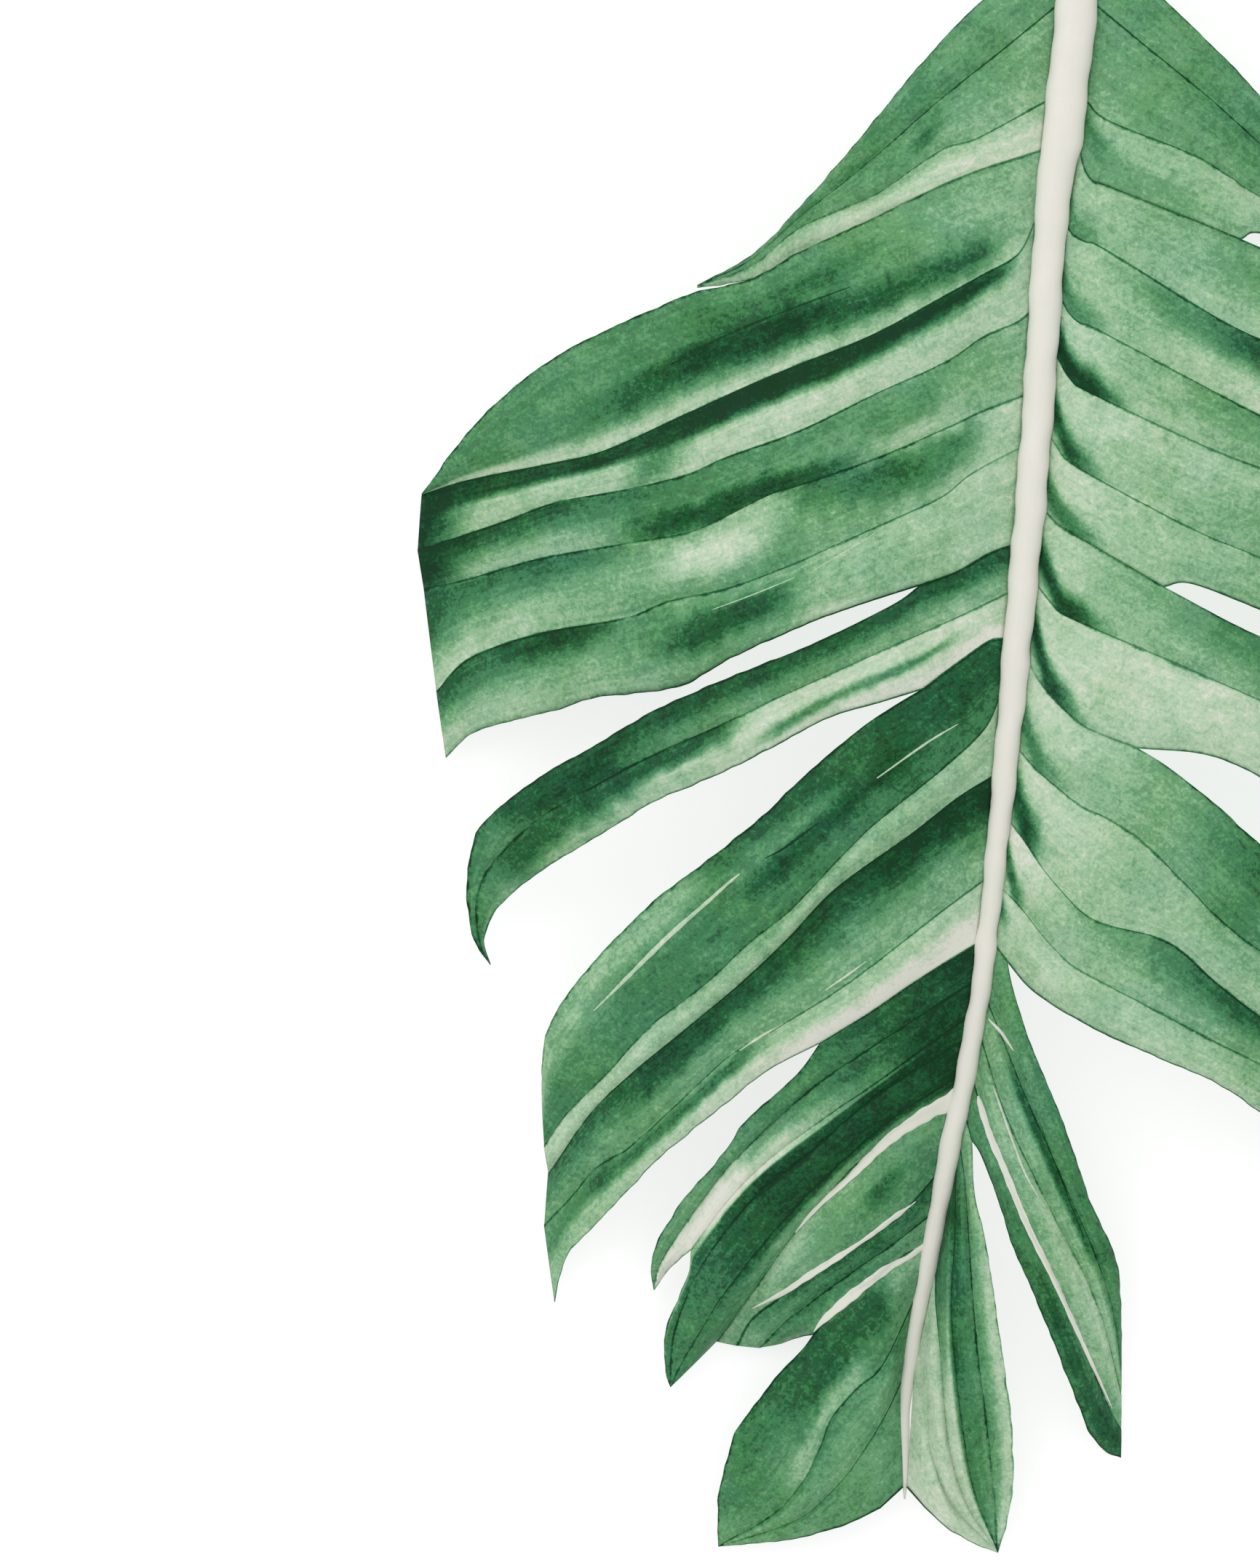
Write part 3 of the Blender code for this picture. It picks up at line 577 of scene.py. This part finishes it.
def arched_strip(upper, lower):
    """The surface between two ribs: points by row and column, arched up between them."""
    points = upper[:, None] * (1 - ACROSS[..., None]) + lower[:, None] * ACROSS[..., None]
    width = np.linalg.norm(upper - lower, axis=1)[:, None]
    fade = np.clip(ALONG / PLEAT_ROOT_FADE, 0, 1)
    depth = np.minimum(width * PLEAT_DEPTH_SHARE, PLEAT_DEPTH_MAX) * fade
    points[:, :, 2] += depth * (1 - np.abs(2 * ACROSS - 1) ** PLEAT_ROUNDNESS)
    return points


def painted(wash, strokes, width):
    """Tone of the strip's washes and strokes by row and column."""
    *edge_tones, border, softness = np.array(wash) / 100
    upper, lower = (np.interp(ALONG, WASH_STATIONS, edge_tones[k::2]) for k in (0, 1))
    tone = upper + (lower - upper) * eased((ACROSS - border) / (2 * softness) + 0.5)
    for number, (painted_tone, half_width, path) in enumerate(strokes):
        along_path, across_path = np.array(path).T / 100
        first, second, third = (ALONG * wave for wave in STROKE_WAVES)
        broad = STROKE_RAGGEDNESS[0] * np.sin(first + number) * np.sin(second + 2)
        fine = STROKE_RAGGEDNESS[1] * np.sin(third + 2 * number)
        start = 1 if along_path[0] == 0 else eased((ALONG - along_path[0]) / STROKE_FADE)
        end = 1 if along_path[-1] == 1 else eased((along_path[-1] - ALONG) / STROKE_FADE)
        distance = (ACROSS - np.interp(ALONG, along_path, across_path)) * width[:, None]
        reach = half_width * (1 + broad + fine)
        weight = np.exp(-np.abs(distance / reach) ** STROKE_HARDNESS) * start * end
        tone = tone + (painted_tone / 100 - tone) * weight
    return tone


def both_pale(above, below):
    """1 where the washes on both sides of a rib are pale, 0 where either is green."""
    return eased((np.minimum(above, below) - PALE_TONE) / PALE_RISE)


def leaflet_tones(name, ribs):
    """Painted tone of each strip of a leaflet."""
    tones = []
    for number, (upper, lower) in enumerate(zip(ribs, ribs[1:])):
        strokes = [stroke[1:] for stroke in STROKES_AND_SHADE.get(name, []) if stroke[0] == number]
        tones.append(painted(WASHES_AND_PLEAT_SHADE[name][number], strokes, np.linalg.norm(upper - lower, axis=1)))
    return tones


def to_frame(points):
    """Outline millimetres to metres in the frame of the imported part."""
    return np.asarray(points) * MM + FRAME_SHIFT


def in_scene(name, data):
    """An object in the scene that shows the data."""
    placed = bpy.data.objects.new(name, data)
    bpy.context.scene.collection.objects.link(placed)
    return placed


def mesh_piece(name, parts, material, closed=False):
    """A mesh from parts of points, faces, and each point's wash and place on the leaf."""
    points, faces, washes, uvs = [], [], [], []
    offset = 0
    for part_points, part_faces, wash, uv in parts:
        points.append(part_points)
        faces.append(part_faces + offset)
        washes.append(wash[part_faces.ravel()])
        uvs.append(uv[part_faces.ravel()])
        offset += len(part_points)
    data = bpy.data.meshes.new(name)
    data.from_pydata(to_frame(np.vstack(points)).tolist(), [], np.vstack(faces).tolist())
    attribute = data.attributes.new("wash", "FLOAT_VECTOR", "CORNER")
    attribute.data.foreach_set("vector", np.vstack(washes).astype(np.float32).ravel())
    layer = data.uv_layers.new(name="leaf")
    layer.data.foreach_set("uv", np.vstack(uvs).astype(np.float32).ravel())
    mesh = bmesh.new()
    mesh.from_mesh(data)
    bmesh.ops.remove_doubles(mesh, verts=mesh.verts, dist=MERGE_DISTANCE * MM)
    for face in mesh.faces:
        face.smooth = True
    if closed:
        bmesh.ops.holes_fill(mesh, edges=[edge for edge in mesh.edges if edge.is_boundary])
    mesh.to_mesh(data)
    mesh.free()
    data.materials.append(material)
    return in_scene(name, data)


def grid_faces(rows, columns, wrap=False):
    """Corner indices of the quads of a grid of points, by row and column."""
    row = np.arange(rows - 1)[:, None]
    column = np.arange(columns if wrap else columns - 1)[None, :]
    after = (column + 1) % columns
    corners = [row * columns + column, row * columns + after,
               (row + 1) * columns + after, (row + 1) * columns + column]
    return np.stack(corners, axis=-1).reshape(-1, 4)


def fit(piece, node):
    """The piece rides on the frond and stands for one of its nodes."""
    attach(piece, "root")
    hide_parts(node)
    return piece


def strip_parts(ribs, tones, edges):
    """The strips of a leaflet, as parts of one mesh."""
    faces = grid_faces(ROWS + 1, COLUMNS + 1)
    parts = []
    across_start = 0
    for number, (upper, lower) in enumerate(zip(ribs, ribs[1:])):
        width = np.linalg.norm(upper - lower, axis=1)[:, None]
        # Distances to the ribs, for the lines of painted shade; put out of reach where both sides are pale
        no_shade_lines = [NO_SHADE_LINE * both_pale(*edges[k])[:, None] for k in (number, number + 1)]
        wash = np.stack([tones[number], width * ACROSS + no_shade_lines[0],
                         width * (1 - ACROSS) + no_shade_lines[1]], axis=-1)
        distance = along((upper + lower)[:, :2] / 2)[:, None]
        uv = np.stack(np.broadcast_arrays(distance, across_start + ACROSS * width.mean()), axis=-1)
        points = arched_strip(upper, lower).reshape(-1, 3)
        parts.append((points, faces, wash.reshape(-1, 3), uv.reshape(-1, 2)))
        across_start += width.mean()
    return parts


def make_leaflet(name, ribs, tones, edges, material):
    """One pleated leaflet, with its thickness."""
    piece = mesh_piece(name, strip_parts(ribs, tones, edges), material)
    thickness = piece.modifiers.new("thickness", "SOLIDIFY")
    thickness.thickness = BLADE_THICKNESS * MM
    thickness.offset = 0
    return fit(piece, "blade")


def rib_rings(path):
    """Rings of points round a rib's path, narrower towards its tip."""
    forward = unit(np.gradient(path, axis=0))
    aside = unit(np.cross(forward, (0, 0, 1)))
    above = np.cross(aside, forward)
    radii = np.linspace(RIB_RADIUS, RIB_TIP_RADIUS, len(path))[:, None]
    angles = np.linspace(0, 2 * math.pi, RIB_SIDES, endpoint=False)
    rings = [path + radii * (aside * math.cos(a) + above * math.sin(a)) for a in angles]
    return np.stack(rings, axis=1)


def rib_tones(above, below):
    """Tone of a rib: darker than beside it, as painted shade in the fold, but not between two pale strips.
    """
    return (above + below) / 2 - RIB_SHADE * (1 - both_pale(above, below))


def plain_wash(tones):
    """Each point's tone, or other first value, away from every painted shade line."""
    return np.column_stack([tones, np.full((len(tones), 2), NO_SHADE_LINE)])


def swept_part(rings, tones, distance, pattern_step, pattern_start=0):
    """A tube through rows of rings, as part of a mesh."""
    rows, sides = rings.shape[:2]
    across = pattern_start + np.tile(np.arange(sides), rows) * pattern_step
    uv = np.column_stack([np.repeat(distance, sides), across])
    return rings.reshape(-1, 3), grid_faces(rows, sides, wrap=True), plain_wash(tones), uv


def make_ribs(name, ribs, edges, material):
    """The fine raised ribs along a leaflet's pleats."""
    parts = []
    for path, (above, below) in zip(ribs[1:], edges):
        tones = np.repeat(rib_tones(above, below), RIB_SIDES)
        parts.append(swept_part(rib_rings(path), tones, along(path), 0, RIB_PATTERN_STEP * len(parts)))
    return fit(mesh_piece(f"{name}_ribs", parts, material), "blade")


def levels_at(outline, surface):
    """Height of the leaves under each point of an outline, evened out along it."""
    found = []
    for place in to_frame(np.column_stack([outline, np.full(len(outline), ABOVE_ALL)])):
        hit = surface.ray_cast(Vector(place), Vector((0, 0, -1)))[0]
        found.append((hit.z - FRAME_SHIFT[2]) / MM if hit else np.nan)
    found = np.array(found)
    known = np.flatnonzero(~np.isnan(found))
    level = np.pad(np.interp(np.arange(len(found)), known, found[known]), RIDGE_SMOOTHING // 2, mode="edge")
    return np.convolve(level, np.ones(RIDGE_SMOOTHING) / RIDGE_SMOOTHING, mode="valid")


def make_ridge(number, leaflet, tone, path, surface, material):
    """A tapered ridge laid on a leaflet's upper side."""
    knots = smooth(path)
    middle = knots[:, :2]
    forward = unit(np.gradient(middle, axis=0))
    aside = np.column_stack([forward[:, 1], -forward[:, 0]])
    distance = along(middle)
    short, long = (distance / length for length in RIDGE_WAVES)
    uneven_width = 1 + RIDGE_UNEVENNESS * np.sin(short) * np.sin(long + number)
    half = np.maximum(knots[:, 2], RIDGE_WIDTH_MIN) / 2 * uneven_width
    top = 2 * RIDGE_HEIGHT_SHARE * np.minimum(half, RIDGE_FULL_HALF_WIDTH)
    rings = []
    for angle in np.linspace(0, math.pi, RIDGE_SIDES + 1):
        outline = middle + aside * (half * math.cos(angle))[:, None]
        level = levels_at(outline, surface) + math.sin(angle) * top + RIDGE_LIFT
        rings.append(np.column_stack([outline, level]))
    for first, last in ((-1, -2), (0, 1)):
        foot = (rings[first] + rings[last]) / 2
        foot[:, 2] = rings[first][:, 2] - RIDGE_FOOT_DEPTH
        rings.append(foot)
    tones = np.full(len(rings) * len(middle), tone)
    part = swept_part(np.stack(rings, axis=1), tones, distance, RIDGE_PATTERN_STEP)
    return fit(mesh_piece(f"{leaflet}_ridge_{number}", [part], material), "blade")


def make_half(side, seams, leaflets, material):
    """The leaflets of one half with their ribs."""
    ribs = half_ribs(side, seams, leaflets)
    tones = {name: leaflet_tones(name, leaflet) for name, leaflet in ribs.items()}
    strips = [strip for name in ribs for strip in tones[name]]
    green = np.zeros(ROWS + 1)
    edges = list(zip([green, *(strip[:, -1] for strip in strips)],
                     [*(strip[:, 0] for strip in strips), green]))
    pieces = []
    for name in ribs:
        pieces.append(make_leaflet(name, ribs[name], tones[name], edges, material))
        make_ribs(name, ribs[name], edges[1:], material)
        edges = edges[len(tones[name]):]
    return pieces


def leaf_surface(pieces):
    """All leaflets as one surface, for laying ridges on."""
    corners, polygons = [], []
    for piece in pieces:
        first = len(corners)
        corners += [vertex.co.copy() for vertex in piece.data.vertices]
        polygons += [[first + index for index in polygon.vertices] for polygon in piece.data.polygons]
    return BVHTree.FromPolygons(corners, polygons)


def make_leaves(material):
    """Every leaflet with its ribs and ridges."""
    pieces = make_half(-1, LEFT_SEAMS, LEFT_LEAFLETS, material) + make_half(1, *right_half(), material)
    surface = leaf_surface(pieces)
    for number, (leaflet, tone, path) in enumerate(RIDGES, 1):
        make_ridge(number, leaflet, tone, path, surface, material)


def stalk_sides(places):
    """Half width of the stalk to its left and right, with a swelling at each leaflet root."""
    half = rachis_at(places)[1]
    sides = []
    for number, seams in enumerate((LEFT_SEAMS, right_half()[0])):
        swelling = sum(np.exp(-((places - seam[0]) / STALK_BULGE_REACH) ** 2) for seam in seams)
        long, short = (places / length for length in STALK_WAVES)
        wave = np.sin(long + number * 2) + 0.7 * np.sin(short + number)
        slim = np.minimum(half / STALK_SLIM, 1)
        sides.append(half + (STALK_BULGE * swelling + STALK_WAVE * wave) * slim)
    return sides


def stalk_rings():
    """Points of the stalk's sections, by section and side, with each side's place across."""
    places = np.linspace(CUT_END, RACHIS_TIP, STALK_SECTIONS)
    centre, half, height = rachis_at(places)
    taper = np.clip((places - RACHIS_TIP) / STALK_TIP, STALK_TIP_MIN, 1)[:, None] ** 0.5
    left, right = stalk_sides(places)
    path = np.column_stack([centre, places, height])
    aside = unit(np.cross(unit(np.gradient(path, axis=0)), (0, 0, 1)))
    angles = np.linspace(0, math.pi, STALK_SIDES - STALK_FOOT_SIDES)
    foot_width, foot_height = STALK_FOOT
    top = STALK_HEIGHT_SHARE - foot_height
    profile = [(math.cos(a), foot_height + top * max(math.sin(a), 0) ** STALK_ROUNDNESS) for a in angles]
    profile += [(-foot_width, 0.0), (0.0, 0.0), (foot_width, 0.0)]
    rings = []
    for x, z in profile:
        reach = (right if x > 0 else left)[:, None] * taper
        rings.append(path + aside * -x * reach + np.array([(0, 0, 1)]) * z * half[:, None] * taper)
    return np.stack(rings, axis=1), np.array(profile)


def make_stalk(material):
    """The stalk and midrib, swept along the arched centre line."""
    rings, profile = stalk_rings()
    width = np.linalg.norm(rings[:, 0] - rings[:, -1 - STALK_FOOT_SIDES], axis=1)[:, None]
    from_side = (1 - np.abs(profile[:, 0])) * width / 2
    part = swept_part(rings, from_side.ravel(), along(rings[:, 0]), STALK_PATTERN_STEP)
    return fit(mesh_piece("stalk", [part], material, closed=True), "rachis")


def make_cut_face(material):
    """The pale cut end of the stalk, a little proud of its cap and slightly hollow."""
    rim = stalk_rings()[0][0]
    middle = rim.mean(axis=0)
    loops = [middle + (rim - middle) * share + np.array([(0, depth, 0)]) for share, depth in CUT_LOOPS]
    points = np.vstack(loops)
    faces = grid_faces(len(loops), len(rim), wrap=True)
    wash = plain_wash(np.repeat([share for share, _ in CUT_LOOPS], len(rim)))
    piece = mesh_piece("cut_face", [(points, faces, wash, points[:, ::2])], material)
    return fit(piece, "rachis")


class Nodes:
    """A material's node tree, with short calls for the nodes used here."""

    def __init__(self, name, specular):
        self.material = bpy.data.materials.new(name)
        self.material.use_nodes = True
        self.tree = self.material.node_tree
        self.shader = self.tree.nodes["Principled BSDF"]
        self.fill(self.shader, {"Specular IOR Level": specular})

    def fill(self, node, inputs):
        """The node's inputs by name or place, each a value or another node's output."""
        for name, value in inputs.items():
            if isinstance(value, bpy.types.NodeSocket):
                self.tree.links.new(value, node.inputs[name])
            else:
                node.inputs[name].default_value = value

    def add(self, kind, inputs, **properties):
        """A new node of the kind, with its inputs and properties."""
        node = self.tree.nodes.new(kind)
        for name, value in properties.items():
            setattr(node, name, value)
        self.fill(node, inputs)
        return node

    def math(self, operation, a, b, clamp=False):
        """The operation on two values."""
        return self.add("ShaderNodeMath", {0: a, 1: b}, operation=operation, use_clamp=clamp).outputs[0]

    def wash(self):
        """The three values of the wash attribute."""
        attribute = self.add("ShaderNodeAttribute", {}, attribute_name="wash")
        return self.add("ShaderNodeSeparateXYZ", {0: attribute.outputs["Vector"]}).outputs

    def leaf_place(self, along_scale=1, across_scale=1):
        """Leaf coordinates in mm, scaled along and across the veins."""
        uv = self.add("ShaderNodeUVMap", {}, uv_map="leaf").outputs[0]
        scale = (along_scale, across_scale, 1)
        return self.add("ShaderNodeMapping", {"Vector": uv, "Scale": scale}).outputs[0]

    def share(self, value, weight):
        """The weighted value about a half, kept between 0 and 1."""
        return self.math("ADD", self.math("MULTIPLY", value, weight), 0.5, clamp=True)

    def noise(self, scale, detail=3.0, distortion=0.0, roughness=0.5):
        """Noise from about -0.5 to 0.5; two scales are those along and across the veins."""
        if isinstance(scale, tuple):
            inputs = {"Vector": self.leaf_place(*scale), "Scale": 1.0}
        else:
            inputs = {"Vector": self.add("ShaderNodeTexCoord", {}).outputs["Object"], "Scale": scale}
        inputs.update({"Detail": detail, "Distortion": distortion, "Roughness": roughness})
        return self.math("SUBTRACT", self.add("ShaderNodeTexNoise", inputs).outputs["Fac"], 0.5)

    def rise(self, value, low, high, first=0.0, last=1.0):
        """The first number below the low value, turning into the last one at the high value."""
        inputs = {"Value": value, "From Min": low, "From Max": high, "To Min": first, "To Max": last}
        return self.add("ShaderNodeMapRange", inputs, interpolation_type="SMOOTHSTEP").outputs["Result"]

    def near(self, distance, reach):
        """1 at no distance, falling to 0 at the reach."""
        return self.rise(distance, 0.0, reach, 1.0, 0.0)

    def total(self, first, *parts):
        """The first value plus each other value times its weight."""
        result = first
        for value, weight in parts:
            result = self.math("ADD", result, self.math("MULTIPLY", value, weight))
        return result

    def ramp(self, factor, stops):
        """The colour at the factor between stops of place and colour."""
        node = self.add("ShaderNodeValToRGB", {0: factor})
        elements = node.color_ramp.elements
        while len(elements) < len(stops):
            elements.new(0.5)
        for element, (position, colour) in zip(elements, stops):
            element.position = position
            element.color = (*colour, 1.0)
        return node.outputs[0]

    def mixed(self, factor, a, b):
        """Colour a turning into colour b as the factor goes from 0 to 1."""
        node = self.add("ShaderNodeMix", {"Factor": factor}, data_type="RGBA")
        colours = [place for place, socket in enumerate(node.inputs) if socket.type == "RGBA"]
        self.fill(node, dict(zip(colours, (a, b))))
        return [socket for socket in node.outputs if socket.type == "RGBA"][0]

    def surface(self, colour, roughness, height, strength, distance):
        """The look: colour, roughness, and the height as fine relief."""
        bump = self.add("ShaderNodeBump", {"Height": height, "Strength": strength, "Distance": distance})
        self.fill(self.shader, {"Base Color": colour, "Roughness": roughness, "Normal": bump.outputs[0]})
        return self.material


def leaf_material():
    """Washed green, partly painted pleat shade, with painted shade in dark lines along the ribs and
    margins, fine parallel veins and a fine grain.
    """
    nodes = Nodes("leaf", specular=0.12)
    tone, from_upper, from_lower = nodes.wash()
    mottle = nodes.noise(scale=46, detail=4, distortion=0.6)
    bloom = nodes.noise(scale=150, detail=5, distortion=1.2, roughness=0.7)
    grain = nodes.noise(scale=520, detail=3, roughness=0.8)
    speck = nodes.rise(nodes.noise(scale=430, detail=2), low=0.10, high=0.22)
    wobble = nodes.noise(scale=260, detail=3)
    streak = nodes.noise(scale=(0.022, 0.30), detail=5, roughness=0.6)
    vein = nodes.noise(scale=(0.012, 0.95), detail=2)
    broken = nodes.noise(scale=(0.09, 0.02), detail=2)
    weight = nodes.share(broken, 3.4)
    # Painted shade: dark lines along the ribs and between leaflets, where folds and overlaps would lie in
    # shadow; along the margins they also stand for the leaf's darker rim.
    upper_rib_shade = nodes.near(nodes.total(from_upper, (wobble, 2.4)), reach=1.5)
    lower_rib_shade = nodes.near(nodes.total(from_lower, (wobble, 1.6)), reach=1.0)
    upper_rib_shade, lower_rib_shade = (nodes.math("MULTIPLY", line, weight) for line in (upper_rib_shade, lower_rib_shade))
    shade = nodes.total(tone, (mottle, 0.28), (bloom, 0.48), (grain, 0.46), (streak, 0.26), (vein, 0.08),
                        (speck, 0.07), (upper_rib_shade, -0.52), (lower_rib_shade, -0.34))
    tint = nodes.noise(scale=24, detail=3)
    colour = nodes.add("ShaderNodeHueSaturation", {
        "Color": nodes.ramp(shade, LEAF_TONES), "Value": LEAF_VALUE,
        "Hue": nodes.total(0.497, (tint, 0.07)), "Saturation": nodes.total(1.0, (bloom, 0.5))})
    return nodes.surface(colour.outputs[0], nodes.total(0.55, (bloom, 0.2), (grain, 0.15)),
                         height=nodes.total(0.0, (vein, 0.7), (grain, 0.5), (streak, 0.5)),
                         strength=0.35, distance=0.0006)


def stalk_material():
    """Cream stalk with faint fibres and a thin green line along both sides."""
    nodes = Nodes("stalk", specular=0.2)
    from_side = nodes.wash()[0]
    mottle = nodes.noise(scale=60, detail=4, distortion=0.4)
    grain = nodes.noise(scale=900, detail=2, roughness=0.7)
    fibre = nodes.noise(scale=(0.03, 1.1), detail=3)
    broken = nodes.noise(scale=(0.10, 0.01), detail=2)
    cool = nodes.total(0.25, (mottle, 1.0), (fibre, 0.5), (grain, 0.4))
    colour = nodes.mixed(nodes.math("MULTIPLY", cool, 1.0, clamp=True), STALK_PALE, STALK_COOL)
    edge = nodes.math("MULTIPLY", nodes.near(from_side, reach=0.5), nodes.share(broken, 2.2))
    return nodes.surface(nodes.mixed(edge, colour, STALK_EDGE),
                         nodes.total(0.5, (mottle, 0.2), (grain, 0.15)),
                         height=nodes.total(0.0, (fibre, 0.8), (grain, 0.5)),
                         strength=0.3, distance=0.0005)


def cut_material():
    """Cut face: pale pith with darker fibre ends and a green rind."""
    nodes = Nodes("cut_face", specular=0.15)
    reach = nodes.wash()[0]
    cells = nodes.add("ShaderNodeTexVoronoi", {"Vector": nodes.leaf_place(), "Scale": 1.1})
    dots = nodes.near(cells.outputs["Distance"], reach=0.34)
    grain = nodes.noise(scale=1200, detail=3)
    fibres = nodes.math("ADD", grain, nodes.math("MULTIPLY", dots, 0.8), clamp=True)
    pith = nodes.mixed(fibres, CUT_PALE, CUT_FIBRE)
    rind = nodes.near(nodes.math("SUBTRACT", 1.0, reach), reach=0.16)
    return nodes.surface(nodes.mixed(rind, pith, CUT_RIND), nodes.total(0.7, (grain, 0.3)),
                         height=nodes.total(grain, (dots, -0.6)), strength=0.4, distance=0.0006)


def floor_material():
    """Nearly white paper, faintly mottled."""
    nodes = Nodes("floor", specular=0.05)
    mottle = nodes.noise(scale=3, detail=3)
    low, high = FLOOR_ALBEDO - FLOOR_MOTTLE, FLOOR_ALBEDO + FLOOR_MOTTLE
    colour = nodes.ramp(nodes.math("ADD", mottle, 0.5), [(0.0, (low, low, low)), (1.0, (high, high, high))])
    nodes.fill(nodes.shader, {"Base Color": colour, "Roughness": 0.9, "Emission Color": WHITE,
                              "Emission Strength": FLOOR_GLOW})
    return nodes.material


def make_floor():
    """A wide flat square under the frond."""
    data = bpy.data.meshes.new("floor")
    corners = [(x * FLOOR_REACH, y * FLOOR_REACH, 0) for x, y in ((-1, -1), (1, -1), (1, 1), (-1, 1))]
    data.from_pydata(corners, [], [(0, 1, 2, 3)])
    data.materials.append(floor_material())
    floor = in_scene("floor", data)


def make_light():
    """An even white sky, and one large soft light from the upper left."""
    world = bpy.data.worlds.new("sky")
    world.use_nodes = True
    background = world.node_tree.nodes["Background"]
    background.inputs["Color"].default_value = WHITE
    background.inputs["Strength"].default_value = SKY_STRENGTH
    bpy.context.scene.world = world
    data = bpy.data.lights.new("window", "AREA")
    data.shape = "SQUARE"
    data.size = WINDOW_SIZE
    data.energy = WINDOW_POWER
    window = in_scene("window", data)
    window.location = WINDOW_PLACE
    window.rotation_euler = (-Vector(WINDOW_PLACE)).to_track_quat("-Z", "Y").to_euler()
    bpy.context.scene.view_settings.view_transform = "Standard"


def make_camera():
    """Straight down, far away, framing the same stretch of the frond as the picture."""
    data = bpy.data.cameras.new("camera")
    data.sensor_width = SENSOR_WIDTH
    framed = IMAGE_HEIGHT * MM_PER_PIXEL * MM
    data.lens = SENSOR_WIDTH * (CAMERA_HEIGHT - FRAMED_HEIGHT * MM) / framed
    data.clip_end = CAMERA_REACH
    camera = in_scene("camera", data)
    camera.location = to_frame((*IMAGE_CENTRE, CAMERA_HEIGHT / MM))
    bpy.context.scene.camera = camera


make_camera()
make_light()
make_floor()
make_leaves(leaf_material())
make_stalk(stalk_material())
make_cut_face(cut_material())
